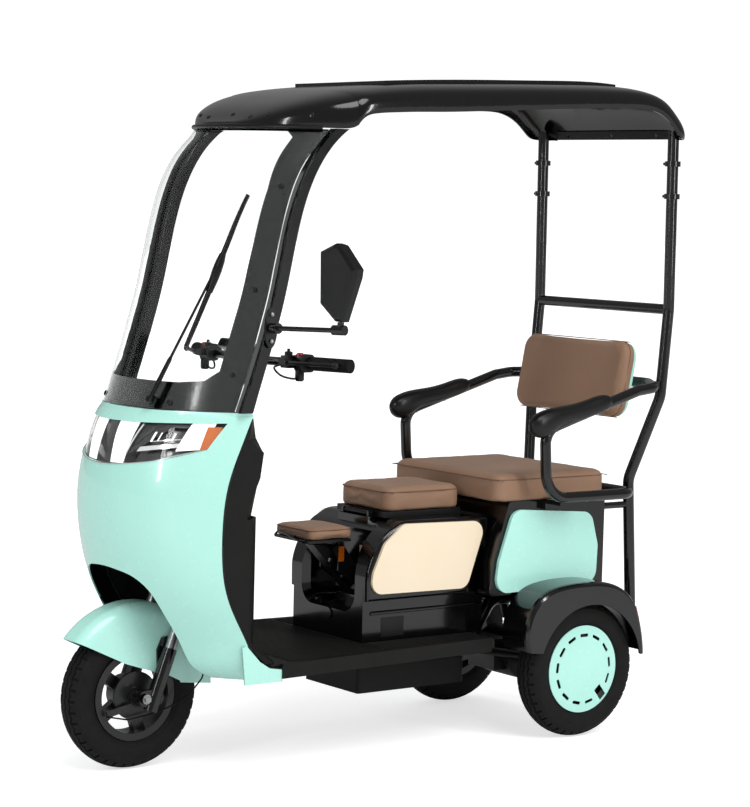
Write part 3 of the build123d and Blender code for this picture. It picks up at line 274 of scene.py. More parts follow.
def curve_points(corners: Sequence[Sequence[float]], per_span: int = 8) -> list[Vector]:
    """Points of the smooth curve through the given corners.

    Args:
        corners: Points that the curve goes through.
        per_span: Points made for each span.

    Returns:
        Points along the curve.
    """
    knots = [Vector(c) for c in corners]
    knots = [2 * knots[0] - knots[1], *knots, 2 * knots[-1] - knots[-2]]
    points = []
    for i in range(1, len(knots) - 2):
        p0, p1, p2, p3 = knots[i - 1:i + 3]
        for step in range(per_span):
            t = step / per_span
            points.append(0.5 * (2 * p1 + (p2 - p0) * t + (2 * p0 - 5 * p1 + 4 * p2 - p3) * t ** 2
                                 + (3 * p1 - p0 - 3 * p2 + p3) * t ** 3))
    points.append(knots[-2])
    return points


class Caster:
    """Finds points on the surface of a CAD node."""

    def __init__(self, name: str) -> None:
        """Reads the mesh of the named node."""
        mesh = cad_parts[name].data
        self.tree = BVHTree.FromPolygons([v.co for v in mesh.vertices], [p.vertices for p in mesh.polygons])

    def hit(self, start: Sequence[float], way: Sequence[float]) -> tuple[Vector, Vector]:
        """Casts a ray.

        Args:
            start: Start of the ray.
            way: Direction of the ray.

        Returns:
            The point that it meets and the normal there, facing the ray.
        """
        direction = Vector(way).normalized()
        point, normal, _, _ = self.tree.ray_cast(Vector(start), direction)
        if point is None:
            point, normal, _, _ = self.tree.find_nearest(Vector(start))
        if normal.dot(direction) > 0:
            normal = -normal
        return point, normal


def draped_patch(name: str, caster: Caster, corners: Sequence[tuple[float, float]], depth: float,
                 thick: float, steps: tuple[int, int] = (8, 8)) -> bpy.types.Object:
    """Makes a thin four-cornered plate that follows a surface seen from the front.

    Args:
        name: Name of the object.
        caster: Surface that the plate follows.
        corners: X and height of the four corners in millimetres, in order round the plate.
        depth: Distance behind the surface, in metres.
        thick: Thickness of the plate, in metres.
        steps: Faces along and across the plate.

    Returns:
        The closed plate.
    """
    a, b, c, d = (Vector((x * MM, 0, z * MM)) for x, z in corners)
    across, along = steps
    front, back = [], []
    for i in range(along + 1):
        for j in range(across + 1):
            spot = a.lerp(b, j / across).lerp(d.lerp(c, j / across), i / along)
            point, normal = caster.hit((spot.x, -0.5, spot.z), (0, 1, 0))
            front.append(point - normal * depth)
            back.append(point - normal * (depth + thick))
    row = across + 1
    total = len(front)
    faces = []
    for i in range(along):
        for j in range(across):
            k = i * row + j
            faces.append((k, k + 1, k + row + 1, k + row))
            faces.append((total + k, total + k + row, total + k + row + 1, total + k + 1))
    rim = [j for j in range(row)] + [i * row + across for i in range(1, along + 1)]
    rim += [along * row + j for j in range(across - 1, -1, -1)] + [i * row for i in range(along - 1, 0, -1)]
    for i, k in enumerate(rim):
        n = rim[(i + 1) % len(rim)]
        faces.append((k, n, total + n, total + k))
    made = mesh_piece(name, front + back, faces)
    outward(made)
    smooth(made, 40)
    return made


# ------------------------------------------------------------------ finishes
@dataclass(frozen=True)
class Finish:
    """A surface finish, made once and shared by name."""

    name: str
    colour: str

    def material(self) -> bpy.types.Material:
        """The finish as a material, made at its first use."""
        found = bpy.data.materials.get(self.name)
        if found:
            return found
        made = bpy.data.materials.new(self.name)
        made.use_nodes = True
        tree = made.node_tree
        tree.nodes.clear()
        shader = put(tree, "ShaderNodeBsdfPrincipled", {"Base Color": linear(self.colour)})
        put(tree, "ShaderNodeOutputMaterial", {"Surface": shader.outputs["BSDF"]})
        self.dress(tree, shader)
        made.diffuse_color = linear(self.colour)
        return made

    def dress(self, tree: bpy.types.NodeTree, shader: bpy.types.Node) -> None:
        """Adds the finish's own detail to its shader."""

    def spread(self, tree: bpy.types.NodeTree, per_metre: float, detail: float = 3.0) -> bpy.types.NodeSocket:
        """Noise on object coordinates, with its scale given in features for each metre."""
        place = put(tree, "ShaderNodeTexCoord").outputs["Object"]
        noise = put(tree, "ShaderNodeTexNoise", {"Vector": place, "Scale": per_metre, "Detail": detail})
        return noise.outputs["Fac"]

    def shaded(self, tree: bpy.types.NodeTree, shader: bpy.types.Node, fac: bpy.types.NodeSocket, dark: str,
               light: str) -> None:
        """Lets a pattern run the base colour between two tones."""
        mix = put(tree, "ShaderNodeMix", {0: fac, 6: linear(dark), 7: linear(light)}, data_type="RGBA")
        tree.links.new(mix.outputs[2], shader.inputs["Base Color"])

    def roughened(self, tree: bpy.types.NodeTree, shader: bpy.types.Node, fac: bpy.types.NodeSocket,
                  low: float, high: float) -> None:
        """Lets a pattern run the roughness between two values."""
        span = put(tree, "ShaderNodeMapRange", {"Value": fac, "To Min": low, "To Max": high})
        tree.links.new(span.outputs["Result"], shader.inputs["Roughness"])

    def bumped(self, tree: bpy.types.NodeTree, shader: bpy.types.Node, height: bpy.types.NodeSocket,
               depth: float, strength: float = 1.0) -> None:
        """Adds a bump of a depth in metres."""
        bump = put(tree, "ShaderNodeBump", {"Height": height, "Distance": depth, "Strength": strength})
        tree.links.new(bump.outputs["Normal"], shader.inputs["Normal"])


@dataclass(frozen=True)
class LacqueredPlastic(Finish):
    """Injection-moulded ABS under sprayed lacquer: even colour, a clear coat and a faint orange peel."""

    shade: str = "#808080"
    rough: float = 0.22
    coat: float = 0.6
    ior: float = 1.5
    gloss: float = 0.5           # specular level, 0.5 is what the refraction index gives
    peel_mm: float = 9.0         # 0 leaves the orange peel out

    def dress(self, tree: bpy.types.NodeTree, shader: bpy.types.Node) -> None:
        """Adds slow colour drift, uneven polish and orange peel."""
        drift = self.spread(tree, 6.0, 2.0)
        self.shaded(tree, shader, drift, self.shade, self.colour)
        self.roughened(tree, shader, self.spread(tree, 40.0), self.rough * 0.85, self.rough * 1.25)
        if self.peel_mm > 0:
            self.bumped(tree, shader, self.spread(tree, 1000 / self.peel_mm, 1.0), 0.00012, 0.25)
        shader.inputs["IOR"].default_value = self.ior
        shader.inputs["Specular IOR Level"].default_value = self.gloss
        shader.inputs["Coat Weight"].default_value = self.coat
        shader.inputs["Coat Roughness"].default_value = 0.04


@dataclass(frozen=True)
class GrainedPlastic(Finish):
    """Moulded polypropylene with an eroded grain: a dull dark grey that catches small points of light."""

    light: str = "#3A3A3A"
    rough: float = 0.52
    grain_mm: float = 1.6        # the real grain is about 0.4 mm, drawn coarser so that it shows

    def dress(self, tree: bpy.types.NodeTree, shader: bpy.types.Node) -> None:
        """Adds a fine grain and rubbed, lighter areas."""
        self.shaded(tree, shader, self.spread(tree, 14.0, 4.0), self.colour, self.light)
        grain = self.spread(tree, 1000 / self.grain_mm, 2.0)
        self.roughened(tree, shader, grain, self.rough - 0.08, self.rough + 0.1)
        self.bumped(tree, shader, grain, 0.0002, 0.5)
        shader.inputs["Specular IOR Level"].default_value = 0.22


@dataclass(frozen=True)
class TubeEnamel(Finish):
    """Stoved enamel on drawn steel tube: deep black with long bright lines and a little dust."""

    light: str = "#1A1A1C"
    rough: float = 0.15

    def dress(self, tree: bpy.types.NodeTree, shader: bpy.types.Node) -> None:
        """Adds faint dust and an uneven gloss."""
        self.shaded(tree, shader, self.spread(tree, 25.0, 5.0), self.colour, self.light)
        self.roughened(tree, shader, self.spread(tree, 60.0), self.rough * 0.8, self.rough * 1.4)
        self.bumped(tree, shader, self.spread(tree, 160.0, 1.0), 0.0001, 0.3)
        shader.inputs["Specular IOR Level"].default_value = 0.5
        shader.inputs["Coat Weight"].default_value = 0.3
        shader.inputs["Coat Roughness"].default_value = 0.06


@dataclass(frozen=True)
class TyreRubber(Finish):
    """Vulcanised rubber: a soft black with a grey bloom on the side walls."""

    light: str = "#2E2E2D"

    def dress(self, tree: bpy.types.NodeTree, shader: bpy.types.Node) -> None:
        """Adds grey bloom and a fine moulded texture."""
        self.shaded(tree, shader, self.spread(tree, 30.0, 6.0), self.colour, self.light)
        fine = self.spread(tree, 450.0, 3.0)
        self.roughened(tree, shader, fine, 0.55, 0.8)
        self.bumped(tree, shader, fine, 0.0003, 0.4)
        shader.inputs["Specular IOR Level"].default_value = 0.2


@dataclass(frozen=True)
class Leatherette(Finish):
    """Embossed polyvinyl on a knit backing: soft brown with a pebbled skin that reads as leather."""

    light: str = "#9A8270"
    pebble_mm: float = 3.2       # the real pebble is about 1 mm, drawn coarser so that it shows

    def dress(self, tree: bpy.types.NodeTree, shader: bpy.types.Node) -> None:
        """Adds pebbles, creases between them and slow tone changes."""
        place = put(tree, "ShaderNodeTexCoord").outputs["Object"]
        cells = put(tree, "ShaderNodeTexVoronoi", {"Vector": place, "Scale": 1000 / self.pebble_mm},
                    feature="DISTANCE_TO_EDGE")
        skin = put(tree, "ShaderNodeMapRange", {"Value": cells.outputs["Distance"], "From Max": 0.28})
        self.shaded(tree, shader, self.spread(tree, 9.0, 3.0), self.colour, self.light)
        self.roughened(tree, shader, skin.outputs["Result"], 0.62, 0.42)
        self.bumped(tree, shader, skin.outputs["Result"], 0.00028, 0.45)
        shader.inputs["Specular IOR Level"].default_value = 0.35
        shader.inputs["Sheen Weight"].default_value = 0.08
        shader.inputs["Sheen Roughness"].default_value = 0.5


@dataclass(frozen=True)
class ClearSheet(Finish):
    """Thermoformed clear polycarbonate: nearly invisible face on, with soft smears and a bright edge."""

    rough: float = 0.02
    ior: float = 1.2

    def dress(self, tree: bpy.types.NodeTree, shader: bpy.types.Node) -> None:
        """Makes the sheet see-through and lets light pass to what is behind it."""
        shader.inputs["Transmission Weight"].default_value = 1.0
        shader.inputs["IOR"].default_value = self.ior
        self.roughened(tree, shader, self.spread(tree, 12.0, 4.0), self.rough * 0.5, self.rough * 1.6)
        path = put(tree, "ShaderNodeLightPath")
        passing = put(tree, "ShaderNodeBsdfTransparent", {"Color": linear(self.colour)})
        mixed = put(tree, "ShaderNodeMixShader", {0: path.outputs["Is Shadow Ray"], 1: shader.outputs["BSDF"],
                                                  2: passing.outputs["BSDF"]})
        output = next(n for n in tree.nodes if n.bl_idname == "ShaderNodeOutputMaterial")
        tree.links.new(mixed.outputs["Shader"], output.inputs["Surface"])


@dataclass(frozen=True)
class Metal(Finish):
    """Plated, polished or turned metal: reflects the studio with its own tint."""

    rough: float = 0.2
    bloom: float = 0.3

    def dress(self, tree: bpy.types.NodeTree, shader: bpy.types.Node) -> None:
        """Makes the surface metallic with uneven polish."""
        shader.inputs["Metallic"].default_value = 1.0
        self.roughened(tree, shader, self.spread(tree, 120.0, 4.0), self.rough, self.rough * (1 + self.bloom))
        self.bumped(tree, shader, self.spread(tree, 300.0, 2.0), 0.00006, 0.3)


@dataclass(frozen=True)
class PaintedGlowDiffuser(Finish):
    """White diffuser over small lamps: an even white, made slightly bright by a painted glow."""

    # painted glow: emission that stands in for light falling on the white, not light from a lamp
    painted_glow: float = 0.35

    def dress(self, tree: bpy.types.NodeTree, shader: bpy.types.Node) -> None:
        """Adds a painted glow, emission that stands in for light falling on the white, and a satin face."""
        shader.inputs["Emission Color"].default_value = linear(self.colour)
        shader.inputs["Emission Strength"].default_value = self.painted_glow
        self.roughened(tree, shader, self.spread(tree, 200.0), 0.25, 0.4)


class Finishes:
    """Every finish of the vehicle."""

    mint = LacqueredPlastic("Mint lacquered ABS", "#BFF9EC", shade="#B7F4E6", rough=0.25,
                            peel_mm=0.0)
    cream = LacqueredPlastic("Cream lacquered ABS", "#FDECD0", shade="#FAE7C9", rough=0.3, coat=0.4,
                             peel_mm=0.0)
    black = LacqueredPlastic("Black lacquered ABS", "#030304", shade="#060607", rough=0.14, coat=0.3,
                             gloss=0.5)
    border = LacqueredPlastic("Black printed border", "#030304", shade="#060607", rough=0.16, coat=0.2,
                              gloss=0.45, peel_mm=0.0)
    satin = LacqueredPlastic("Satin black ABS", "#080809", shade="#0D0D0E", rough=0.32, coat=0.0, gloss=0.4)
    grain = GrainedPlastic("Grained polypropylene", "#0C0C0C", light="#161615")
    floor = GrainedPlastic("Ribbed floor polypropylene", "#0E0E0D", light="#191817", rough=0.5)
    tube = TubeEnamel("Black stoved enamel", "#040405", light="#0C0C0D")
    cast = TubeEnamel("Black enamelled casting", "#070708", light="#111111", rough=0.36)
    rubber = TyreRubber("Vulcanised tyre rubber", "#0D0D0D", light="#1B1B1A")
    grip = TyreRubber("Moulded grip rubber", "#0A0A0A", light="#131313")
    leather = Leatherette("Brown embossed leatherette", "#906F58", light="#9C7B63")
    piping = Leatherette("Leatherette piping", "#6B5142", light="#7A5E4D")
    screen = ClearSheet("Clear polycarbonate screen", "#FDFFFE", ior=1.06)
    lens = ClearSheet("Clear lamp lens", "#FFFFFF", ior=1.25)
    amber = LacqueredPlastic("Amber acrylic lens", "#B45C14", shade="#97460A", rough=0.15, coat=0.6)
    red = LacqueredPlastic("Red acrylic lens", "#A80F12", shade="#8A0A0C", rough=0.12, coat=0.8)
    chrome = Metal("Plated chromium trim", "#DADCDD", rough=0.08)
    steel = Metal("Zinc plated steel", "#A9ABAC", rough=0.28)
    silver = Metal("Silvered mirror glass", "#F2F4F4", rough=0.01, bloom=0.0)
    # painted glow on the lamp band's white fields, from emission in this finish
    painted_glow_white = PaintedGlowDiffuser("White lamp diffuser with painted glow", "#FFFFFF")


NODE_FINISH: dict[str, Finish] = {
    "front_rim": Finishes.cast, "rear_rim_left": Finishes.cast, "rear_rim_right": Finishes.cast,
    "hubcap_left": Finishes.mint, "hubcap_right": Finishes.mint, "fork": Finishes.tube,
    "brake_plate": Finishes.cast, "brake_cable": Finishes.grip, "front_fender": Finishes.mint,
    "handlebar": Finishes.tube, "grips": Finishes.grip, "bar_controls": Finishes.satin,
    "chassis": Finishes.tube, "rear_axle": Finishes.cast, "shock_absorbers": Finishes.tube,
    "footboard": Finishes.floor, "battery_box": Finishes.grain, "front_apron": Finishes.mint,
    "dash_cowl": Finishes.mint, "front_lamp": Finishes.lens, "lamp_tray": Finishes.black,
    "amber_lenses": Finishes.amber, "legshield": Finishes.grain, "windshield": Finishes.screen,
    "windshield_border": Finishes.border, "pillars": Finishes.black, "front_visor": Finishes.black,
    "roof": Finishes.black, "roof_panel": Finishes.black, "rear_valance": Finishes.satin,
    "rear_hoop": Finishes.tube, "pole_collars": Finishes.tube, "front_seat_box": Finishes.black,
    "rear_seat_box": Finishes.black, "front_side_panels": Finishes.cream, "rear_side_panels": Finishes.mint,
    "seat_hinge": Finishes.tube, "driver_seat_base": Finishes.satin, "backrest_shell": Finishes.mint,
    "arm_frame": Finishes.tube, "child_seat_base": Finishes.satin, "child_seat_bracket": Finishes.satin,
    "rear_fenders": Finishes.black, "tail_lamps": Finishes.red, "mirror_arm": Finishes.tube,
    "mirror_head": Finishes.satin, "mirror_glass": Finishes.silver,
}


def dress_nodes() -> None:
    """Gives every CAD node that stays in view its finish."""
    for name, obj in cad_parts.items():
        finish = NODE_FINISH.get(name)
        if finish is None:
            continue
        if not obj.data.materials:
            obj.data.materials.append(finish.material())
        for slot in obj.material_slots:
            slot.material = finish.material()


def finished(piece: bpy.types.Object, finish: Finish, body: str) -> bpy.types.Object:
    """Dresses a piece and lets it ride.

    Args:
        piece: Piece in its place.
        finish: Finish of the whole piece.
        body: CAD body that carries it.

    Returns:
        The same piece.
    """
    if not piece.data.materials:
        piece.data.materials.append(finish.material())
    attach(piece, body)
    log.info("piece %s on %s", piece.name, body)
    return piece


# ------------------------------------------------------------------ geometry node trees
def new_tree(name: str, sizes: dict[str, tuple[str, float]]) -> tuple[bpy.types.NodeTree, bpy.types.Node]:
    """Starts a geometry tree.

    Args:
        name: Name of the tree.
        sizes: Input name to its socket type and default.

    Returns:
        The tree and its group input.
    """
    tree = bpy.data.node_groups.new(name, "GeometryNodeTree")
    tree.interface.new_socket("Geometry", in_out="INPUT", socket_type="NodeSocketGeometry")
    for title, (kind, default) in sizes.items():
        made = tree.interface.new_socket(title, in_out="INPUT", socket_type=kind)
        if kind != "NodeSocketMaterial":
            made.default_value = default
    tree.interface.new_socket("Geometry", in_out="OUTPUT", socket_type="NodeSocketGeometry")
    return tree, put(tree, "NodeGroupInput")


def close_tree(tree: bpy.types.NodeTree, shape: bpy.types.NodeSocket, finish: bpy.types.NodeSocket) -> None:
    """Ends a tree with realised instances and a material."""
    real = put(tree, "GeometryNodeRealizeInstances", {"Geometry": shape})
    dressed = put(tree, "GeometryNodeSetMaterial", {"Geometry": real.outputs["Geometry"], "Material": finish})
    put(tree, "NodeGroupOutput", {"Geometry": dressed.outputs["Geometry"]})


def ring_tree() -> bpy.types.NodeTree:
    """Tree that repeats the host mesh round the X axis."""
    found = bpy.data.node_groups.get("ring of copies")
    if found:
        return found
    tree, start = new_tree("ring of copies", {"Copies": ("NodeSocketInt", 12),
                                              "Finish": ("NodeSocketMaterial", 0)})
    line = put(tree, "GeometryNodeMeshLine", {"Count": start.outputs["Copies"], "Offset": (0, 0, 0)})
    index = put(tree, "GeometryNodeInputIndex")
    whole = put(tree, "ShaderNodeMath", {0: 2 * math.pi, 1: start.outputs["Copies"]}, operation="DIVIDE")
    turn = put(tree, "ShaderNodeMath", {0: index.outputs["Index"], 1: whole.outputs[0]}, operation="MULTIPLY")
    angles = put(tree, "ShaderNodeCombineXYZ", {"X": turn.outputs[0]})
    placed = put(tree, "GeometryNodeInstanceOnPoints", {"Points": line.outputs["Mesh"],
                                                       "Instance": start.outputs["Geometry"],
                                                       "Rotation": angles.outputs["Vector"]})
    close_tree(tree, placed.outputs["Instances"], start.outputs["Finish"])
    return tree


def fastener_tree() -> bpy.types.NodeTree:
    """Tree that sets a screw head, a narrower cylinder on a washer, on each point, along the point's
    direction.
    """
    found = bpy.data.node_groups.get("screw heads")
    if found:
        return found
    tree, start = new_tree("screw heads", {"Head radius": ("NodeSocketFloat", 0.005),
                                           "Head height": ("NodeSocketFloat", 0.003),
                                           "Finish": ("NodeSocketMaterial", 0)})
    radius, height = start.outputs["Head radius"], start.outputs["Head height"]
    washer = put(tree, "GeometryNodeMeshCylinder", {"Vertices": 16, "Radius": radius, "Depth": height})
    narrow = put(tree, "ShaderNodeMath", {0: radius, 1: 0.72}, operation="MULTIPLY")
    head = put(tree, "GeometryNodeMeshCylinder", {"Vertices": 16, "Radius": narrow.outputs[0],
                                                  "Depth": height})
    half = put(tree, "ShaderNodeMath", {0: height, 1: 0.5}, operation="MULTIPLY")
    lift = put(tree, "ShaderNodeCombineXYZ", {"Z": half.outputs[0]})
    raised = put(tree, "GeometryNodeTransform", {"Geometry": head.outputs["Mesh"],
                                                 "Translation": lift.outputs[0]})
    shape = put(tree, "GeometryNodeJoinGeometry", {"Geometry": washer.outputs["Mesh"]})
    tree.links.new(raised.outputs["Geometry"], shape.inputs["Geometry"])
    way = put(tree, "GeometryNodeInputNamedAttribute", {"Name": "way"}, data_type="FLOAT_VECTOR")
    turned = put(tree, "FunctionNodeAlignRotationToVector", {"Vector": way.outputs["Attribute"]}, axis="Z")
    placed = put(tree, "GeometryNodeInstanceOnPoints", {"Points": start.outputs["Geometry"],
                                                       "Instance": shape.outputs["Geometry"],
                                                       "Rotation": turned.outputs["Rotation"]})
    close_tree(tree, placed.outputs["Instances"], start.outputs["Finish"])
    return tree


def rib_tree() -> bpy.types.NodeTree:
    """Tree that lays a row of equal ribs across the host's place."""
    found = bpy.data.node_groups.get("row of ribs")
    if found:
        return found
    tree, start = new_tree("row of ribs", {"Count": ("NodeSocketInt", 10),
                                           "Step": ("NodeSocketVector", (0, 0, 0)),
                                           "Size": ("NodeSocketVector", (0, 0, 0)),
                                           "Finish": ("NodeSocketMaterial", 0)})
    line = put(tree, "GeometryNodeMeshLine", {"Count": start.outputs["Count"],
                                              "Offset": start.outputs["Step"]})
    rib = put(tree, "GeometryNodeMeshCube", {"Size": start.outputs["Size"], "Vertices X": 2, "Vertices Y": 2,
                                             "Vertices Z": 2})
    corner = put(tree, "GeometryNodeInputPosition")
    base = put(tree, "GeometryNodeSampleIndex", {"Geometry": start.outputs["Geometry"],
                                                 "Value": corner.outputs["Position"], "Index": 0},
               data_type="FLOAT_VECTOR")
    moved = put(tree, "GeometryNodeSetPosition", {"Geometry": line.outputs["Mesh"],
                                                  "Offset": base.outputs["Value"]})
    placed = put(tree, "GeometryNodeInstanceOnPoints", {"Points": moved.outputs["Geometry"],
                                                       "Instance": rib.outputs["Mesh"]})
    close_tree(tree, placed.outputs["Instances"], start.outputs["Finish"])
    return tree


def grown(piece: bpy.types.Object, tree: bpy.types.NodeTree, values: dict[str, object]) -> bpy.types.Object:
    """Runs a tree on a host and keeps the result as a plain mesh.

    Args:
        piece: Host object.
        tree: Geometry tree.
        values: Input name to its value.

    Returns:
        The host with the grown mesh.
    """
    modifier = piece.modifiers.new(tree.name, "NODES")
    modifier.node_group = tree
    for item in tree.interface.items_tree:
        if item.in_out == "INPUT" and item.name in values:
            modifier[item.identifier] = values[item.name]
    settled(piece)
    return piece


def screws(name: str, spots: Sequence[tuple[Vector, Vector]], radius: float, height: float,
           finish: Finish) -> bpy.types.Object:
    """Sets screw heads on surface points.

    Args:
        name: Name of the piece.
        spots: Point and outward direction of each screw.
        radius: Head radius in metres.
        height: Head height in metres.
        finish: Finish of the heads.

    Returns:
        One mesh with all the heads.
    """
    host = mesh_piece(name, [p for p, _ in spots], [])
    way = host.data.attributes.new("way", "FLOAT_VECTOR", "POINT")
    for i, (_, direction) in enumerate(spots):
        way.data[i].vector = direction
    made = grown(host, fastener_tree(), {"Head radius": radius, "Head height": height,
                                         "Finish": finish.material()})
    bevelled(made, height * 0.3, 2)
    settled(made)
    smooth(made, 45)
    return made


# ------------------------------------------------------------------ wheels
@dataclass
class Tyre:
    """One pneumatic tyre: a carcass with side-wall rings and a tread of repeated pitches."""

    node: str
    body: str
    pitches: int = 40
    crown_drop: float = 13.0     # crown over shoulder, mm
    shoulder: float = 33.0       # half width of the tread arc, mm
    groove: float = 5.0
    groove_width: float = 3.6
    zigzag: float = 2.6
    sipe: float = 0.24           # share of a pitch left open between shoulder blocks
    centre: Vector = field(init=False)
    radius: float = field(init=False)
    half: float = field(init=False)

    def __post_init__(self) -> None:
        """Reads the place and the outer sizes from the CAD tyre."""
        low, high = (Vector(c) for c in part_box(self.node))
        self.centre = (low + high) / 2
        self.radius = (high.z - low.z) / 2 / MM
        self.half = (high.x - low.x) / 2 / MM

    def tread_radius(self, x: float) -> float:
        """Outer radius of the tread at a distance from the middle plane, in millimetres."""
        arc = (self.shoulder ** 2 + self.crown_drop ** 2) / (2 * self.crown_drop)
        return self.radius - arc + math.sqrt(arc ** 2 - x ** 2)

    def place(self, x: float, radius: float, turn: float) -> Vector:
        """Point of the tyre from millimetres across, radius and angle, about the origin."""
        return Vector((x * MM, radius * math.cos(turn) * MM, radius * math.sin(turn) * MM))

    def carcass(self) -> bpy.types.Object:
        """Side walls, beads and groove floor as one closed ring."""
        wall = [(27.0, 103.0), (27.0, 110.0), (29.0, 114.5), (31.5, 117.0), (31.2, 118.6), (34.0, 122.0),
                (34.8, 124.0),
                (36.2, 124.6), (36.4, 126.6), (37.2, 128.0), (38.8, 134.0), (39.7, 140.0), (39.9, 147.0),
                (39.2, 154.0), (38.0, 158.5), (38.3, 160.0), (36.6, 162.6), (35.0, 166.0), (32.6, 168.6)]
        scale = self.radius / 183.0
        wall = [(x * self.half / 40.0, r * scale) for x, r in wall]
        floor = [(x, self.tread_radius(x) - self.groove) for x in (30.0, 22.0, 14.0, 7.0, 0.0)]
        right = wall + floor
        profile = right + [(-x, r) for x, r in reversed(right[:-1])]
        count = 160
        rings = []
        for step in range(count + 1):
            turn = 2 * math.pi * step / count
            rings.append([self.place(x, r, turn) for x, r in profile])
        made = loft_rings(f"{self.node}_carcass", rings, capped=False)
        smooth(made, 38)
        made.data.materials.append(Finishes.rubber.material())
        return made

    def block(self, left: Callable[[float], float], right: Callable[[float], float], start: float,
              end: float) -> tuple[list[Vector], list[tuple[int, ...]]]:
        """One raised block of a pitch.

        Args:
            left: Left edge in millimetres for a share of the pitch.
            right: Right edge in millimetres for a share of the pitch.
            start: Share of the pitch at which the block starts.
            end: Share of the pitch at which the block ends.

        Returns:
            Points and faces of the closed block.
        """
        points: list[Vector] = []
        faces: list[tuple[int, ...]] = []
        rows, top = 4, 3
        for row in range(rows + 1):
            share = start + (end - start) * row / rows
            turn = 2 * math.pi * share / self.pitches
            x0, x1 = left(share), right(share)
            points.append(self.place(x0, self.tread_radius(x0) - self.groove - 1, turn))
            for i in range(top + 1):
                x = x0 + (x1 - x0) * i / top
                points.append(self.place(x, self.tread_radius(x), turn))
            points.append(self.place(x1, self.tread_radius(x1) - self.groove - 1, turn))
        size = top + 3
        for row in range(rows):
            for i in range(size - 1):
                k = row * size + i
                faces.append((k, k + 1, k + size + 1, k + size))
        faces.append(tuple(range(size)))
        faces.append(tuple(rows * size + i for i in range(size)))
        return points, faces

    def tread(self) -> bpy.types.Object:
        """The tread: zigzag ribs in the middle and separate blocks along the shoulders."""
        def edge(at: float, lean: float) -> Callable[[float], float]:
            """Zigzag line at a distance from the middle plane."""
            return lambda share: at + lean * self.zigzag * (1 - 4 * abs(share % 1 - 0.5))

        gap = self.groove_width / 2
        lines = [-20.0, -7.2, 7.2, 20.0]
        rows = [(edge(lines[i] + gap, 1), edge(lines[i + 1] - gap, 1), 0.0, 1.0) for i in range(3)]
        rows.append((edge(20.0 + gap, 1), lambda share: self.shoulder - 0.5, self.sipe / 2,
                     1 - self.sipe / 2))
        rows.append((lambda share: 0.5 - self.shoulder, edge(-20.0 - gap, 1), 0.5 + self.sipe / 2,
                     1.5 - self.sipe / 2))
        points: list[Vector] = []
        faces: list[tuple[int, ...]] = []
        for row in rows:
            new_points, new_faces = self.block(*row)
            faces += [tuple(len(points) + i for i in f) for f in new_faces]
            points += new_points
        made = mesh_piece(f"{self.node}_tread", points, faces)
        outward(made)
        grown(made, ring_tree(), {"Copies": self.pitches, "Finish": Finishes.rubber.material()})
        smooth(made, 30)
        return made

    def build(self) -> bpy.types.Object:
        """Makes the tyre and puts it in place of the CAD one."""
        tyre = joined(f"{self.node}_moulded", [self.carcass(), self.tread()])
        tyre.data.transform(Matrix.Translation(self.centre))
        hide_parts(self.node)
        return finished(tyre, Finishes.rubber, self.body)


@dataclass
class Wheels:
    """The three wheels with their tyres, valves and nuts."""

    valve_angle: float = -48.0

    def valve(self, tyre: Tyre, side: Side) -> bpy.types.Object:
        """Rubber valve stem with its cap, standing in the hubcap's notch."""
        turn = math.radians(self.valve_angle)
        way = Vector((0.55 * side.value, math.cos(turn), math.sin(turn))).normalized()
        foot = tyre.centre + Vector((24 * MM * side.value, 92 * MM * math.cos(turn),
                                     92 * MM * math.sin(turn)))
        line = [foot + way * d * MM * -1 for d in (0, 8, 9, 16)]
        made = tube(f"{tyre.node}_valve", line, [3.4 * MM, 3.2 * MM, 4.2 * MM, 3.8 * MM], 14,
                    up=Vector((1, 0, 0.2)))
        return finished(made, Finishes.grip, tyre.body)

    def hub_nut(self, tyre: Tyre, x: float, radius: float, finish: Finish, body: str) -> bpy.types.Object:
        """Axle nut with a washer at one side of a wheel."""
        sign = 1 if x > 0 else -1
        centre = tyre.centre + Vector((x * MM, 0, 0))
        rings = []
        for depth, size, sides in ((0, 1.35, 24), (2, 1.35, 24), (2.1, 1.0, 6), (9, 1.0, 6), (10.5, 0.86, 6)):
            ring = []
            for step in range(24):
                turn = 2 * math.pi * step / 24
                bow = math.cos(math.pi / sides) / math.cos(((turn + math.pi / sides) % (2 * math.pi / sides))
                                                           - math.pi / sides)
                ring.append(centre + Vector((sign * depth * MM, math.cos(turn) * radius * size * bow * MM,
                                             math.sin(turn) * radius * size * bow * MM)))
            rings.append(ring)
        made = loft_rings(f"{tyre.node}_nut", rings)
        smooth(made, 30)
        return finished(made, finish, body)

    def build(self) -> None:
        """Makes the tyres and what is fitted to the wheels."""
        front = Tyre("front_tyre", "front_wheel")
        left = Tyre("rear_tyre_left", "rear_wheel_left")
        right = Tyre("rear_tyre_right", "rear_wheel_right")
        for tyre in (front, left, right):
            tyre.build()
        self.valve(left, Side.LEFT)
        self.valve(right, Side.RIGHT)
        self.hub_nut(front, 86.5, 9, Finishes.steel, "steering")


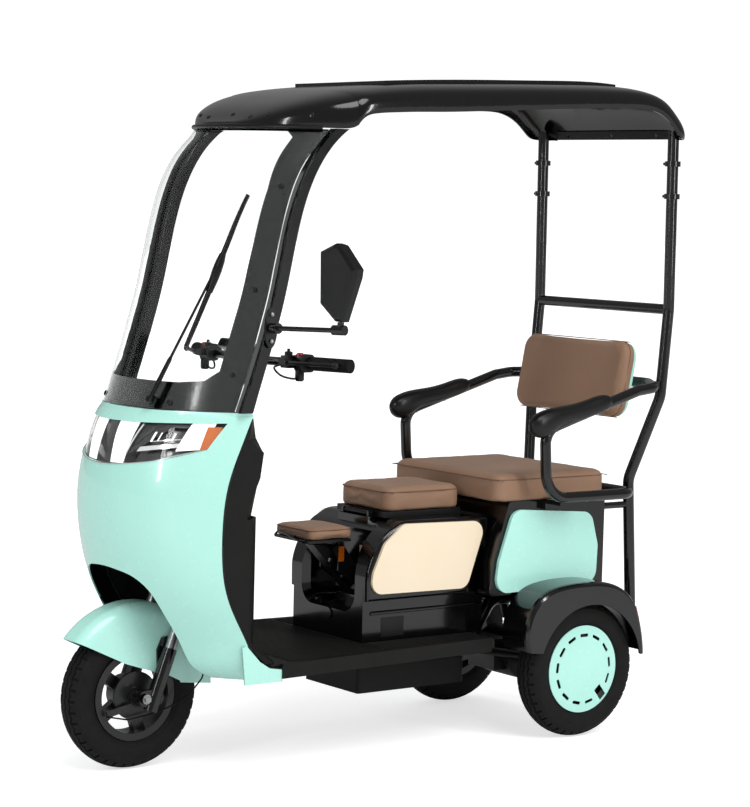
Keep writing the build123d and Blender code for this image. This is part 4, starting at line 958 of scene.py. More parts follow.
# ------------------------------------------------------------------ nose
@dataclass
class NoseLamps:
    """Lamp band in the nose: reflector fields, lamp rods, frames and the plated lip along its lower edge."""

    lens: Caster = field(init=False)
    apron: Caster = field(init=False)
    slash: tuple[tuple[float, float], ...] = ((27, 869), (97, 869), (80, 764), (34, 762))
    far_slash: tuple[tuple[float, float], ...] = ((208, 868), (244, 869), (238, 806), (196, 800))
    bar: tuple[tuple[float, float], ...] = ((120, 806), (212, 821), (207, 810), (113, 794))
    frame_line: tuple[tuple[float, float], ...] = ((106, 860), (111, 860), (85, 784), (80, 784))
    ticks: tuple[tuple[tuple[float, float], ...], ...] = (
        ((145, 843), (149, 843), (144, 820), (140, 820)),
        ((209, 845), (214, 845), (210, 826), (206, 826)),
        ((186, 841), (188, 841), (184, 825), (182, 825)),
        ((159, 842), (161, 842), (157, 823), (155, 823)),
    )
    outline: tuple[tuple[float, float], ...] = ((142, 821), (212, 831), (212, 829), (142, 819))
    hood: tuple[tuple[float, float], ...] = ((104, 874), (214, 874), (210, 855), (98, 856))
    lip_x: tuple[float, ...] = (0, 40, 82, 122, 163, 206, 248)
    lip_z: tuple[float, ...] = (758.5, 760, 763.5, 769, 776.5, 790, 808)

    def __post_init__(self) -> None:
        """Prepares the surfaces that the parts follow."""
        self.lens = Caster("front_lamp")
        self.apron = Caster("front_apron")

    def field_plate(self, name: str, corners: Sequence[tuple[float, float]], depth: float, side: Side,
                    finish: Finish) -> bpy.types.Object:
        """One plate behind the lens on the given side."""
        placed = [(x * side.value, z) for x, z in corners]
        made = draped_patch(f"{name}_{side.name.lower()}", self.lens, placed, depth, 1.2 * MM, (10, 10))
        made.data.materials.append(finish.material())
        return made

    def lip(self) -> bpy.types.Object:
        """Plated bead along the lower edge of the window."""
        left = list(zip(self.lip_x, self.lip_z))
        corners = [(-x, z) for x, z in reversed(left[1:])] + left
        line = []
        for x, _, z in curve_points([(x, 0, z) for x, z in corners], 6):
            point, normal = self.apron.hit((x * MM, -0.5, (z - 1.2) * MM), (0, 1, 0))
            line.append(point + normal * 0.4 * MM)
        return tube("lamp_lip", line, 1.5 * MM, 8)

    def build(self) -> None:
        """Makes the inside of the lamp band and its trim."""
        white, black, plated = [], [], []
        inside = 4.2 * MM
        for side in Side:
            # the white fields carry a painted glow from their finish
            white.append(self.field_plate("reflector_field", self.slash, inside, side, Finishes.painted_glow_white))
            white.append(self.field_plate("far_reflector", self.far_slash, inside, side, Finishes.painted_glow_white))
            for number, tick in enumerate(self.ticks):
                white.append(self.field_plate(f"lamp_tick_{number}", tick, inside, side, Finishes.painted_glow_white))
            plated.append(self.field_plate("lamp_bar", self.bar, inside, side, Finishes.chrome))
            plated.append(self.field_plate("module_line", self.frame_line, inside, side, Finishes.chrome))
            plated.append(self.field_plate("module_edge", self.outline, inside, side, Finishes.chrome))
            black.append(self.field_plate("module_hood", self.hood, inside + 1 * MM, side, Finishes.satin))
        finished(joined("lamp_reflectors", white), Finishes.painted_glow_white, "frame")
        finished(joined("lamp_trim", plated), Finishes.chrome, "frame")
        finished(joined("lamp_hoods", black), Finishes.satin, "frame")
        finished(self.lip(), Finishes.chrome, "frame")


# ------------------------------------------------------------------ screen and wiper
@dataclass
class Screen:
    """Fittings of the windshield: screws, the wiper and its motor cover."""

    screw_spots: tuple[tuple[float, float], ...] = (
        (253, 983), (252, 1186), (255, 1433), (-253, 983), (-252, 1186), (-255, 1433), (-150, 912),
        (150, 912),
    )
    pivot: tuple[float, float] = (110, 911)
    elbow: tuple[float, float] = (182, 1236)
    blade: tuple[tuple[float, float], ...] = ((154, 1042), (207, 1408))
    glass: Caster = field(init=False)

    def __post_init__(self) -> None:
        """Prepares the glass that the fittings follow."""
        self.glass = Caster("windshield")

    def on_glass(self, x: float, z: float, lift: float) -> Vector:
        """Point in front of the glass, all sizes in millimetres."""
        point, normal = self.glass.hit((x * MM, -0.6, z * MM), (0, 1, 0))
        return point + normal * lift * MM

    def fixing_screws(self) -> bpy.types.Object:
        """Button heads round the edge of the glass."""
        spots = []
        for x, z in self.screw_spots:
            point, normal = self.glass.hit((x * MM, -0.6, z * MM), (0, 1, 0))
            spots.append((point + normal * 0.8 * MM, normal))
        return screws("screen_screws", spots, 7 * MM, 2.6 * MM, Finishes.satin)

    def wiper(self) -> bpy.types.Object:
        """Wiper arm with its pivot cap, and the blade with its rubber lip."""
        start = self.on_glass(*self.pivot, 6)
        tip = self.on_glass(*self.pivot, 25)
        cap = tube("pivot_cap", [start, start.lerp(tip, 0.3), start.lerp(tip, 0.35), start.lerp(tip, 0.9),
                                 tip],
                   [13 * MM, 12.5 * MM, 9.5 * MM, 9.5 * MM, 7 * MM], 20)
        foot, high = self.on_glass(*self.pivot, 19), self.on_glass(*self.elbow, 19)
        spine = [foot.lerp(high, s) for s in (0, 0.12, 0.3, 0.32, 0.6, 0.9, 1)]
        arm = tube("wiper_arm", spine, [w * MM for w in (9, 10, 9, 6, 5.6, 5.2, 5.4)], 10, 0.6)
        (x0, z0), (x1, z1) = self.blade
        levels = [i / 16 for i in range(17)]
        rail = [self.on_glass(x0 + (x1 - x0) * s, z0 + (z1 - z0) * s, 11) for s in levels]
        lip = [self.on_glass(x0 + (x1 - x0) * s, z0 + (z1 - z0) * s, 4.5) for s in levels]
        sizes = [(4.6 + 2.4 * math.sin(math.pi * s)) * MM for s in levels]
        frame_rail = tube("wiper_rail", rail, sizes, 10)
        rubber = tube("wiper_lip", lip, 4 * MM, 6, 0.35, up=Vector((1, 0, 0)))
        clip = tube("wiper_clip", [rail[8] + (rail[9] - rail[8]) * s for s in (-2.2, -1, 0, 1, 1.8)],
                    [8 * MM, 11 * MM, 12 * MM, 11 * MM, 8 * MM], 8)
        made = joined("wiper_set", [cap, arm, frame_rail, rubber, clip])
        smooth(made, 45)
        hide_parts("wiper")
        return finished(made, Finishes.satin, "frame")

    def motor_cover(self) -> bpy.types.Object:
        """Rounded cover of the wiper motor behind the glass at its foot."""
        foot = self.on_glass(70, 930, -42)
        rings = []
        for lift, size in ((0, 0.96), (4, 1.0), (24, 1.0), (31, 0.92), (34, 0.78)):
            rings.append([foot + Vector((math.copysign(abs(math.cos(t)) ** 0.5, math.cos(t)) * 62 * size,
                                         math.copysign(abs(math.sin(t)) ** 0.5, math.sin(t)) * 26 * size,
                                         lift - 34)) * MM
                          for t in (2 * math.pi * i / 40 for i in range(40))])
        made = loft_rings("wiper_motor_cover", rings)
        smooth(made, 40)
        return finished(made, Finishes.satin, "frame")

    def build(self) -> None:
        """Makes the fittings of the screen."""
        finished(self.fixing_screws(), Finishes.satin, "frame")
        self.wiper()
        self.motor_cover()


# ------------------------------------------------------------------ seats
@dataclass
class Cushion:
    """One upholstered pad: a stuffed cover with a piped seam round its upper edge."""

    name: str
    node: str
    body: str
    half_width: float
    half_length: float
    thickness: float
    centre: Vector
    corner: float = 34.0
    edge: float = 12.0
    foot_edge: float = 5.0
    crown: float = 5.0
    swell: float = 6.0
    seam: float = 0.72
    lean: float = 0.0            # turn of the pad about X, degrees

    def outline(self, inset: float) -> list[tuple[float, float]]:
        """Rounded rectangle in plan, shrunk by an inset, in millimetres."""
        points = []
        wide, long, round_ = self.half_width - inset, self.half_length - inset, max(self.corner - inset, 2)
        for quarter, (sx, sy) in enumerate(((1, 1), (-1, 1), (-1, -1), (1, -1))):
            for step in range(9):
                turn = math.pi / 2 * (quarter + step / 8)
                points.append((sx * (wide - round_) + round_ * math.cos(turn),
                               sy * (long - round_) + round_ * math.sin(turn)))
        return points

    def turned(self) -> Matrix:
        """Places the pad's own frame in the vehicle."""
        return Matrix.Translation(self.centre * MM) @ Matrix.Rotation(math.radians(self.lean), 4, "X")

    def start(self) -> bpy.types.Object:
        """The pad before it is filled: a rounded block with an even skin."""
        half = self.thickness / 2
        rings = []
        for step in range(4):
            turn = math.pi / 2 * step / 3
            inset = self.swell * 0.5 + self.foot_edge * (1 - math.sin(turn))
            rings.append([(x, y, -half + self.foot_edge * (1 - math.cos(turn)))
                          for x, y in self.outline(inset)])
        for step in range(6):
            turn = math.pi / 2 * step / 5
            inset = self.swell * 0.5 + self.edge * (1 - math.cos(turn))
            rings.append([(x, y, half - self.edge * (1 - math.sin(turn)) - self.crown)
                          for x, y in self.outline(inset)])
        made = loft_rings(self.name, [[(x * MM, y * MM, z * MM) for x, y, z in ring] for ring in rings])
        remesh = made.modifiers.new("even skin", "REMESH")
        remesh.mode = "VOXEL"
        remesh.voxel_size = 5.5 * MM
        settled(made)
        return made

    def filled(self, piece: bpy.types.Object) -> None:
        """Blows the skin up with cloth simulation and caps how far it moves."""
        before = [v.co.copy() for v in piece.data.vertices]
        cloth = piece.modifiers.new("filling", "CLOTH")
        settings = cloth.settings
        settings.quality = 5
        settings.mass = 0.3
        settings.tension_stiffness = 18
        settings.compression_stiffness = 18
        settings.shear_stiffness = 8
        settings.bending_stiffness = 1.2
        settings.use_pressure = True
        settings.uniform_pressure_force = 4.0
        settings.effector_weights.gravity = 0.0
        scene = bpy.context.scene
        for number in range(1, 21):
            scene.frame_set(number)
        settled(piece)
        scene.frame_set(1)
        limit = self.swell * MM
        for vertex, old in zip(piece.data.vertices, before):
            move = vertex.co - old
            if move.length > limit:
                vertex.co = old + move.normalized() * limit

    def crowned(self, piece: bpy.types.Object) -> None:
        """Raises the middle of the upper face and keeps the foot flat."""
        half = self.thickness / 2
        wide, long = self.half_width, self.half_length
        for vertex in piece.data.vertices:
            x, y, z = (c / MM for c in vertex.co)
            share = max(0.0, (z + half) / self.thickness)
            dome = max(0.0, 1 - (x / wide) ** 2) * max(0.0, 1 - (y / long) ** 2)
            z += self.crown * share ** 2 * dome ** 0.6
            pull = 1 - 0.012 * (1 - abs(x / wide)) * abs(y / long) - 0.0
            vertex.co = Vector((x, y * pull, max(-half, min(z, half)))) * MM

    def piping(self, piece: bpy.types.Object) -> bpy.types.Object:
        """Piped seam that runs round the pad where its top meets its side."""
        mesh = piece.data
        skin = BVHTree.FromPolygons([v.co for v in mesh.vertices], [p.vertices for p in mesh.polygons])
        level = (self.seam - 0.5) * self.thickness * MM
        rings = []
        hits = []
        for x, y in self.outline(0):
            point, _, _, _ = skin.find_nearest(Vector((x * MM, y * MM, level)))
            hits.append(Vector((point.x, point.y, level)))
        line = curve_points(hits + [hits[0]], 3)[:-1]
        for i, point in enumerate(line):
            along = (line[(i + 1) % len(line)] - line[i - 1]).normalized()
            across = along.cross(Vector((0, 0, 1))).normalized()
            rings.append([point + (across * math.cos(t) + Vector((0, 0, 1)) * math.sin(t)) * 1.2 * MM
                          for t in (2 * math.pi * k / 8 for k in range(8))])
        made = loft_rings(f"{self.name}_piping", rings + [rings[0]], capped=False)
        smooth(made, 80)
        return made

    def build(self) -> bpy.types.Object:
        """Makes the pad with its piping and lets it stand for the CAD cushion."""
        pad = self.start()
        self.filled(pad)
        self.crowned(pad)
        relax = pad.modifiers.new("relaxed", "SMOOTH")
        relax.iterations = 3
        settled(pad)
        seam = self.piping(pad)
        subdivided(pad, 1)
        pad.data.shade_smooth()
        pad.data.materials.append(Finishes.leather.material())
        settled(pad)
        pad.data.transform(self.turned())
        seam.data.transform(self.turned())
        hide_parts(self.node)
        finished(pad, Finishes.leather, self.body)
        finished(seam, Finishes.piping, self.body)
        return pad


@dataclass
class Seats:
    """The four upholstered pads."""

    lean: float = 11.0

    def from_box(self, name: str, node: str, body: str, **sizes: float) -> Cushion:
        """Makes a level pad that fills the box of its CAD cushion."""
        low, high = (Vector(c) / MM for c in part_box(node))
        middle, half = (low + high) / 2, (high - low) / 2
        return Cushion(name, node, body, half.x, half.y, half.z * 2, middle, **sizes)

    def build(self) -> None:
        """Makes all four pads."""
        self.from_box("driver_pad", "driver_cushion", "driver_seat", corner=36, edge=14, crown=5,
                      seam=0.8).build()
        self.from_box("bench_pad", "bench_cushion", "frame", corner=36, edge=14, crown=6, seam=0.8).build()
        self.from_box("child_pad", "child_cushion", "child_seat", corner=24, edge=8, crown=3, swell=3,
                      seam=0.78).build()
        low, high = (Vector(c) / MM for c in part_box("backrest_cushion"))
        lean = math.radians(self.lean)
        height = ((high.z - low.z) - 44 * math.sin(lean)) / math.cos(lean)
        middle = (low + high) / 2
        pad = Cushion("backrest_pad", "backrest_cushion", "frame", (high.x - low.x) / 2, height / 2, 44.0,
                      middle, corner=46, edge=14, crown=4, swell=5, seam=0.5, lean=90 - self.lean)
        pad.build()


# ------------------------------------------------------------------ arms
@dataclass
class ArmPads:
    """Moulded rests on the front part of each arm, with their screws."""

    half_spacing: float = 300.0
    line: tuple[tuple[float, float], ...] = (
        (1009, 826), (1016, 829), (1030, 832), (1050, 837), (1078, 851), (1111, 860), (1145, 864),
        (1182, 870),
        (1215, 878), (1250, 888), (1274, 893), (1288, 892),
    )
    wide: tuple[float, ...] = (5, 15, 23, 26, 26, 24, 22, 21, 21, 22, 19, 6)
    high: tuple[float, ...] = (7, 20, 31, 35, 30, 24, 23, 23, 23, 23, 18, 6)

    def pad(self, side: Side) -> bpy.types.Object:
        """One rest as a skin over changing oval sections."""
        rings = []
        x = self.half_spacing * side.value
        for i, (y, z) in enumerate(self.line):
            after = self.line[min(i + 1, len(self.line) - 1)]
            before = self.line[max(i - 1, 0)]
            along = Vector((0, after[0] - before[0], after[1] - before[1])).normalized()
            upward = Vector((0, -along.z, along.y))
            ring = []
            for step in range(20):
                turn = 2 * math.pi * step / 20
                c, s = math.cos(turn), math.sin(turn)
                c = math.copysign(abs(c) ** 0.8, c)
                s = math.copysign(abs(s) ** 0.8, s)
                ring.append((Vector((x, y, z)) + Vector((c * self.wide[i], 0, 0))
                             + upward * s * self.high[i]) * MM)
            rings.append(ring)
        made = loft_rings(f"arm_rest_{side.name.lower()}", rings)
        subdivided(made, 2)
        made.data.shade_smooth()
        made.data.materials.append(Finishes.satin.material())
        return made

    def build(self) -> None:
        """Makes both rests and the screws that hold them from below."""
        rests = joined("arm_rests", [self.pad(side) for side in Side])
        rests.data.shade_smooth()
        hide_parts("arm_pads")
        finished(rests, Finishes.satin, "frame")
        spots = []
        down = Vector((0, 0.25, -1)).normalized()
        for side in Side:
            for y, z in ((1098, 829), (1196, 859)):
                spots.append((Vector((self.half_spacing * side.value, y, z - 3)) * MM, down))
        finished(screws("arm_rest_screws", spots, 7 * MM, 9 * MM, Finishes.steel), Finishes.steel, "frame")


# ------------------------------------------------------------------ floor and boxes
@dataclass
class FloorTread:
    """Lengthwise ribs moulded on the footboard."""

    step: float = 13.0
    rib: tuple[float, float] = (6.0, 2.2)
    front_field: tuple[float, float] = (292.0, 588.0)
    side_field: tuple[float, float] = (596.0, 930.0)

    def field_ribs(self, name: str, x0: float, x1: float, y0: float, y1: float) -> bpy.types.Object:
        """One field of ribs between two X and two Y values in millimetres."""
        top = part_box("footboard")[1][2] / MM
        count = int((x1 - x0) / self.step) + 1
        width, height = self.rib
        host = mesh_piece(name, [(x0 * MM, (y0 + y1) / 2 * MM, (top + height / 2 - 0.4) * MM)], [])
        values = {"Count": count, "Step": (self.step * MM, 0.0, 0.0),
                  "Size": (width * MM, (y1 - y0) * MM, height * MM), "Finish": Finishes.floor.material()}
        made = grown(host, rib_tree(), values)
        bevelled(made, 0.9 * MM, 2)
        settled(made)
        smooth(made, 40)
        return made

    def build(self) -> None:
        """Makes the ribs of the whole floor as one piece."""
        y0, y1 = self.front_field
        fields = [self.field_ribs("front_ribs", -260, 260, y0, y1)]
        y0, y1 = self.side_field
        fields.append(self.field_ribs("left_ribs", 164, 240, y0, y1))
        fields.append(self.field_ribs("right_ribs", -240, -164, y0, y1))
        ribs = joined("floor_ribs", fields)
        smooth(ribs, 40)
        finished(ribs, Finishes.floor, "frame")


def rounded_outline(corners: Sequence[tuple[float, float]], radius: float,
                    steps: int = 6) -> list[tuple[float, float]]:
    """Rounds the corners of a flat outline.

    Args:
        corners: Corners of the outline in order.
        radius: Radius of the rounding.
        steps: Spans on each rounding.

    Returns:
        Points of the rounded outline.
    """
    points = []
    count = len(corners)
    for i in range(count):
        here = Vector(corners[i])
        back = (Vector(corners[i - 1]) - here).normalized()
        ahead = (Vector(corners[(i + 1) % count]) - here).normalized()
        angle = back.angle(ahead)
        reach = radius / math.tan(angle / 2)
        middle = here + (back + ahead).normalized() * radius / math.sin(angle / 2)
        first, last = here + back * reach - middle, here + ahead * reach - middle
        for step in range(steps + 1):
            spot = first.slerp(last, step / steps) + middle
            points.append((spot.x, spot.y))
    return points


@dataclass
class BoxTrim:
    """Raised beads, ledges and blank plate on the two seat boxes."""

    front_panel: tuple[tuple[float, float], ...] = (
        (600, 408), (607, 462), (641, 536), (702, 584), (972, 578), (912, 404),
    )
    rear_panel: tuple[tuple[float, float], ...] = (
        (964, 390), (976, 476), (1022, 610), (1290, 590), (1316, 500), (1312, 398),
    )
    bead: float = 2.6

    def frame_bead(self, name: str, outline: Sequence[tuple[float, float]], corner: float, grow: float,
                   x: float, side: Side) -> bpy.types.Object:
        """Bead that runs round a side panel."""
        middle = Vector((sum(y for y, _ in outline), sum(z for _, z in outline))) / len(outline)
        wide = []
        for y, z in outline:
            out = Vector((y, z)) - middle
            spot = Vector((y, z)) + out.normalized() * grow * 1.25
            wide.append((spot.x, spot.y))
        line = [Vector((x * side.value, y, z)) * MM for y, z in rounded_outline(wide, corner + grow)]
        rings = []
        for i, point in enumerate(line):
            along = (line[(i + 1) % len(line)] - line[i - 1]).normalized()
            across = along.cross(Vector((1, 0, 0))).normalized()
            rings.append([point + (across * math.cos(t) * 1.5 + Vector((1, 0, 0)) * math.sin(t))
                          * self.bead * MM
                          for t in (2 * math.pi * k / 10 for k in range(10))])
        made = loft_rings(f"{name}_{side.name.lower()}", rings + [rings[0]], capped=False)
        smooth(made, 60)
        return made

    def ledge(self, side: Side) -> bpy.types.Object:
        """Narrow step along the side of the front box."""
        x0, x1 = 153.5 * side.value, 157.5 * side.value
        section = [(x0, 350), (x1, 352), (x1, 357), (x0, 361)]
        rings = [[Vector((x, y, z)) * MM for x, z in section] for y in (618, 620, 978, 980)]
        made = loft_rings(f"box_ledge_{side.name.lower()}", rings)
        bevelled(made, 0.8 * MM)
        smooth(made, 30)
        return made

    def plate(self) -> bpy.types.Object:
        """Blank plate on the left side of the front box."""
        outline = rounded_outline([(652, 290), (728, 290), (728, 344), (652, 344)], 3)
        rings = [[Vector((x, y, z)) * MM for y, z in outline] for x in (153.8, 154.9)]
        made = loft_rings("blank_plate", rings)
        smooth(made, 30)
        return made

    def build(self) -> None:
        """Makes the trim on both sides."""
        beads = []
        for side in Side:
            beads.append(self.frame_bead("front_bead", self.front_panel, 32, 6, 171.0, side))
            beads.append(self.frame_bead("rear_bead", self.rear_panel, 38, 6, 222.0, side))
            beads.append(self.ledge(side))
        trim = joined("box_beads", beads)
        smooth(trim, 50)
        finished(trim, Finishes.black, "frame")
        finished(self.plate(), Finishes.satin, "frame")


# ------------------------------------------------------------------ small fittings
@dataclass
class Fittings:
    """Small parts that the CAD frame leaves out: seals, fork tubes, switch gear and screws; also a black skin
    of painted shade inside the nose cover.
    """

    shade_skin_top: float = 745.0     # the painted-shade skin ends below the lamp band, mm
    shade_skin_gap: float = 0.6
    stanchion: tuple[float, float, float] = (14.7, 292.0, 434.0)
    rake: float = 20.0
    axis_foot: tuple[float, float] = (30.0, 183.0)
    leg_spacing: float = 144.0
    visor_screws: tuple[tuple[float, float], ...] = ((-249, 1606), (-152, 1607), (-94, 1602), (5, 1608),
                                                     (94, 1602),
                                                     (152, 1607), (249, 1606))
    plate_centre: Point = (299.4, 194.0, 1097.0)
    seal_x: tuple[float, float] = (288.0, 284.0)          # middle of the cover's wall, middle of the seal
    seal_z: tuple[int, int, int] = (320, 761, 20)         # lowest, end and step of the seal's stations
    seal_radius: float = 5.5
    seal_set_back: float = 3.0   # the seal lies this far behind the cover's edge
    reflector_x: tuple[float, float] = (42.2, 45.4)       # inner and outer face, on the bracket's ear
    gasket_radius: float = 6.0
    gasket_half_steps: int = 26
    gasket_step: float = 10.2
    gasket_height: float = 1571.0

    def steering_line(self, height: float, x: float) -> Vector:
        """Point on a line parallel to the steering axis, in metres."""
        y0, z0 = self.axis_foot
        return Vector((x, y0 + (height - z0) * math.tan(math.radians(self.rake)), height)) * MM

    def apron_shade_skin(self) -> bpy.types.Object:
        """Thin black skin on the inner side of the nose cover: painted shade that darkens the inside of the
        cover.
        """
        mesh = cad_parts["front_apron"].data
        work = bmesh.new()
        work.from_mesh(mesh)
        outer = []
        for face in work.faces:
            centre = face.calc_center_median()
            away = Vector((centre.x, centre.y - 0.42, 0)).normalized()
            if face.normal.dot(away) > -0.35 or centre.z > self.shade_skin_top * MM:
                outer.append(face)
        bmesh.ops.delete(work, geom=outer, context="FACES")
        work.normal_update()
        for vert in work.verts:
            vert.co += vert.normal * self.shade_skin_gap * MM
        made = mesh_piece("apron_shade_skin", [], [])
        work.to_mesh(made.data)
        work.free()
        skin = made.modifiers.new("thickness", "SOLIDIFY")
        skin.thickness = 0.5 * MM
        skin.offset = 1.0
        settled(made)
        smooth(made, 40)
        return made

    def stanchions(self) -> bpy.types.Object:
        """Polished fork tubes between the crown and the lower legs."""
        radius, low, high = self.stanchion
        parts = []
        for side in Side:
            x = self.leg_spacing / 2 * side.value
            line = [self.steering_line(low + (high - low) * i / 4, x) for i in range(5)]
            parts.append(tube(f"stanchion_{side.name.lower()}", line, radius * MM, 32, up=Vector((0, 1, 0))))
        return joined("fork_stanchions", parts)

    def switch_gear(self) -> tuple[bpy.types.Object, bpy.types.Object]:
        """Buttons, horn pods and short cables at both ends of the handlebar."""
        low, high = (Vector(c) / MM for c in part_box("bar_controls"))
        y, z = (low.y + high.y) / 2, (low.z + high.z) / 2
        dark, red = [], []
        for side in Side:
            x = 214 * side.value
            red.append(tube(f"button_{side.name.lower()}",
                            [Vector((x, y + 2, z + h)) * MM for h in (14, 24, 25.5)],
                            [8 * MM, 8 * MM, 6.5 * MM], 20, up=Vector((0, 1, 0))))
            dark.append(tube(f"horn_pod_{side.name.lower()}",
                             [Vector((x, y + 2, z - h)) * MM for h in (16, 20, 40, 44)],
                             [10 * MM, 12 * MM, 12 * MM, 9 * MM], 20, 0.9, up=Vector((0, 1, 0))))
            dark.append(tube(f"mirror_boss_{side.name.lower()}",
                             [Vector((182 * side.value, y - 10, z + h)) * MM for h in (10, 26, 28, 34)],
                             [10 * MM, 10 * MM, 4 * MM, 4 * MM], 16, up=Vector((0, 1, 0))))
            drop = [(200, -20, 2), (170, -26, -6), (138, -22, -16), (150, -10, -34), (186, 2, -40),
                    (206, 4, -34)]
            line = curve_points([Vector((cx * side.value, y + cy, z + cz)) * MM for cx, cy, cz in drop], 6)
            dark.append(tube(f"lever_cable_{side.name.lower()}", line, 2.6 * MM, 10))
        return joined("switch_gear", dark), joined("bar_buttons", red)

    def mirror_plate(self) -> tuple[bpy.types.Object, bpy.types.Object]:
        """Gasket and screws of the mirror's bracket."""
        centre = Vector(self.plate_centre)
        rings = []
        for depth, grow in ((-1.0, 3.0), (1.6, 3.0), (2.2, 2.4)):
            rings.append([(centre + Vector((depth, math.cos(t) * (15 + grow),
                                            math.sin(t) * (46 + grow)))) * MM
                          for t in (2 * math.pi * i / 48 for i in range(48))])
        gasket = loft_rings("mirror_gasket", rings)
        smooth(gasket, 40)
        spots = [((centre + Vector((6, 0, lift))) * MM, Vector((1, 0, 0))) for lift in (-32, 32)]
        return gasket, screws("mirror_screws", spots, 5 * MM, 3 * MM, Finishes.steel)

    def edge_seals(self) -> bpy.types.Object:
        """Soft strips between the nose cover's edges and the inner shield."""
        cover = Caster("front_apron")
        wall, middle = self.seal_x
        strips = []
        for side in Side:
            line = []
            for z in range(*self.seal_z):
                edge, _ = cover.hit((wall * side.value * MM, 0.6, z * MM), (0, -1, 0))
                line.append(Vector((middle * side.value * MM, edge.y + self.seal_set_back * MM, z * MM)))
            strips.append(tube(f"edge_seal_{side.name.lower()}", line, self.seal_radius * MM, 10))
        return joined("edge_seals", strips)

    def reflector(self) -> bpy.types.Object:
        """Amber reflector on the outer face of the folding seat's bracket."""
        outline = rounded_outline([(592, 474), (613, 474), (613, 517), (592, 517)], 3)
        rings = [[Vector((x, y, z)) * MM for y, z in outline] for x in self.reflector_x]
        made = loft_rings("bracket_reflector", rings)
        smooth(made, 30)
        return made

    def visor_gasket(self) -> bpy.types.Object:
        """Rubber strip that closes the joint between the screen and the visor."""
        sheet = Caster("windshield")
        line = []
        for step in range(-self.gasket_half_steps, self.gasket_half_steps + 1):
            point, normal = sheet.hit((step * self.gasket_step * MM, -0.5, self.gasket_height * MM),
                                      (0, 1, 0))
            line.append(point + normal * 2 * MM + Vector((0, 0, 5 * MM)))
        return tube("visor_gasket", line, self.gasket_radius * MM, 12)

    def seat_loop(self) -> bpy.types.Object:
        """Thin bent handle under the front of the child's seat."""
        corners = ((-60, 466, 541), (-49, 466, 550), (-36, 466, 552.5), (-9, 466, 550), (23, 467, 542),
                   (50, 470, 537),
                   (70, 484, 533))
        line = curve_points([Vector(c) * MM for c in corners], 6)
        return tube("child_seat_handle", line, 3 * MM, 10)

    def build(self) -> None:
        """Makes every fitting."""
        # painted shade: black skin that darkens the inside of the nose cover
        finished(self.apron_shade_skin(), Finishes.satin, "frame")
        finished(self.stanchions(), Finishes.steel, "steering")
        gear, buttons = self.switch_gear()
        finished(gear, Finishes.satin, "steering")
        finished(buttons, Finishes.red, "steering")
        visor = Caster("front_visor")
        spots = []
        for x, z in self.visor_screws:
            point, normal = visor.hit((x * MM, -0.6, z * MM), (0, 1, 0))
            spots.append((point + normal * 0.6 * MM, normal))
        finished(screws("visor_screws", spots, 6 * MM, 2.4 * MM, Finishes.tube), Finishes.tube, "frame")
        gasket, heads = self.mirror_plate()
        finished(gasket, Finishes.satin, "frame")
        finished(heads, Finishes.steel, "frame")
        finished(self.visor_gasket(), Finishes.satin, "frame")
        finished(self.edge_seals(), Finishes.satin, "frame")
        finished(self.reflector(), Finishes.amber, "frame")
        finished(self.seat_loop(), Finishes.tube, "child_seat")
        arm_spots = [(Vector((20.4, y, z)) * MM, Vector((1, 0, 0))) for y, z in ((584, 478), (626, 434))]
        heads = screws("bracket_screws", arm_spots, 6 * MM, 3 * MM, Finishes.steel)
        finished(heads, Finishes.steel, "frame")


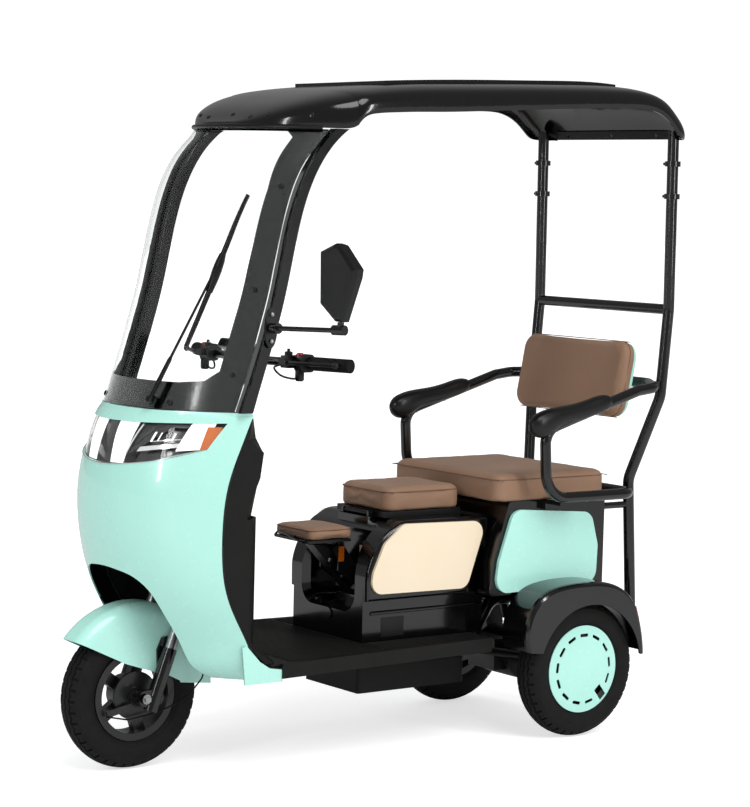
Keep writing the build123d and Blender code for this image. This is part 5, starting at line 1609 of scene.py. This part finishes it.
# ------------------------------------------------------------------ studio
@dataclass
class Studio:
    """Pale floor, soft lamps, white surroundings and the camera."""

    camera_place: Point = (5.21518, -3.15237, 1.41016)
    azimuth: float = 53.3261
    pitch: float = 4.6860
    roll: float = 1.5195
    lens: float = 111.635
    sensor: float = 36.0
    ambient: float = 0.5
    mirrored: float = 0.25       # strength of the surroundings in reflections
    backdrop: float = 1.06
    floor_lift: float = 0.62
    sun: float = 1.22

    def seen(self, tree: bpy.types.NodeTree) -> bpy.types.NodeSocket:
        """1 for rays from the camera and through glass, and 0 for reflections and the light on the object."""
        path = put(tree, "ShaderNodeLightPath")
        both = put(tree, "ShaderNodeMath", {0: path.outputs["Is Camera Ray"],
                                            1: path.outputs["Is Transmission Ray"]},
                   operation="ADD", use_clamp=True)
        return both.outputs[0]

    def surroundings(self) -> None:
        """White world that lights the object a little and shows dimly in reflections."""
        world = bpy.data.worlds.new("White studio")
        bpy.context.scene.world = world
        world.use_nodes = True
        tree = world.node_tree
        tree.nodes.clear()
        path = put(tree, "ShaderNodeLightPath")
        indirect = put(tree, "ShaderNodeMapRange", {"Value": path.outputs["Is Glossy Ray"],
                                                    "To Min": self.ambient, "To Max": self.mirrored})
        strength = put(tree, "ShaderNodeMapRange", {"Value": self.seen(tree),
                                                    "To Min": indirect.outputs["Result"],
                                                    "To Max": self.backdrop})
        back = put(tree, "ShaderNodeBackground", {"Color": linear("#FFFFFF"),
                                                  "Strength": strength.outputs["Result"]})
        put(tree, "ShaderNodeOutputWorld", {"Surface": back.outputs["Background"]})

    def floor(self) -> None:
        """Pale floor that shows the object's shadow."""
        low = CAD_BOX[0][2] - 0.0005
        reach = 60.0
        made = mesh_piece("studio_floor", [(-reach, -reach, low), (reach, -reach, low), (reach, reach, low),
                                           (-reach, reach, low)], [(0, 1, 2, 3)])
        finish = bpy.data.materials.new("Pale studio floor")
        finish.use_nodes = True
        tree = finish.node_tree
        tree.nodes.clear()
        matt = put(tree, "ShaderNodeBsdfDiffuse", {"Color": linear("#EDEDED")})
        gain = put(tree, "ShaderNodeMath", {0: self.seen(tree), 1: self.floor_lift}, operation="MULTIPLY")
        lift = put(tree, "ShaderNodeEmission", {"Color": linear("#FFFFFF"), "Strength": gain.outputs[0]})
        both = put(tree, "ShaderNodeAddShader", {0: matt.outputs["BSDF"], 1: lift.outputs["Emission"]})
        put(tree, "ShaderNodeOutputMaterial", {"Surface": both.outputs["Shader"]})
        made.data.materials.append(finish)

    def lamps(self) -> None:
        """One wide sun and two narrow upright panels."""
        sun = bpy.data.lights.new("Wide key", "SUN")
        sun.energy = self.sun
        sun.angle = math.radians(35)
        lamp = bpy.data.objects.new("Wide key", sun)
        lamp.rotation_euler = (math.radians(34), math.radians(14), math.radians(60))
        bpy.context.scene.collection.objects.link(lamp)
        middle = (Vector(CAD_BOX[0]) + Vector(CAD_BOX[1])) / 2
        for name, place, size, power in (("Left panel", (3.4, 1.8, 2.0), 0.3, 30),
                                         ("Front panel", (1.4, -3.4, 2.2), 0.3, 24)):
            panel = bpy.data.lights.new(name, "AREA")
            panel.shape = "RECTANGLE"
            panel.size, panel.size_y = size, 1.8
            panel.energy = power
            lamp = bpy.data.objects.new(name, panel)
            lamp.location = place
            lamp.rotation_euler = (middle - Vector(place)).to_track_quat("-Z", "Y").to_euler()
            bpy.context.scene.collection.objects.link(lamp)

    def camera(self) -> None:
        """Camera at the picture's viewing angle."""
        data = bpy.data.cameras.new("Studio camera")
        data.lens = self.lens
        data.sensor_width = self.sensor
        data.sensor_fit = "AUTO"
        data.clip_end = 200
        made = bpy.data.objects.new("Studio camera", data)
        turn, tilt, roll = (math.radians(a) for a in (self.azimuth, self.pitch, self.roll))
        ahead = Vector((-math.sin(turn) * math.cos(tilt), math.cos(turn) * math.cos(tilt), -math.sin(tilt)))
        right = Vector((math.cos(turn), math.sin(turn), 0))
        up = right.cross(ahead)
        x_axis = right * math.cos(roll) + up * math.sin(roll)
        y_axis = -right * math.sin(roll) + up * math.cos(roll)
        turned = Matrix((x_axis, y_axis, -ahead)).transposed().to_4x4()
        made.matrix_world = Matrix.Translation(self.camera_place) @ turned
        bpy.context.scene.collection.objects.link(made)
        bpy.context.scene.camera = made

    def build(self) -> None:
        """Makes the studio."""
        bpy.context.scene.view_settings.view_transform = "Standard"
        self.camera()
        self.surroundings()
        self.floor()
        self.lamps()


def main() -> None:
    """Builds the studio and every sub-assembly in order."""
    logging.basicConfig(level=logging.INFO, format="%(name)s: %(message)s")
    dress_nodes()
    for part in (Studio(), Wheels(), NoseLamps(), Screen(), Seats(), ArmPads(), FloorTread(), BoxTrim(),
                 Fittings()):
        part.build()
        log.info("%s done", type(part).__name__)


if __name__ == "__main__":
    main()
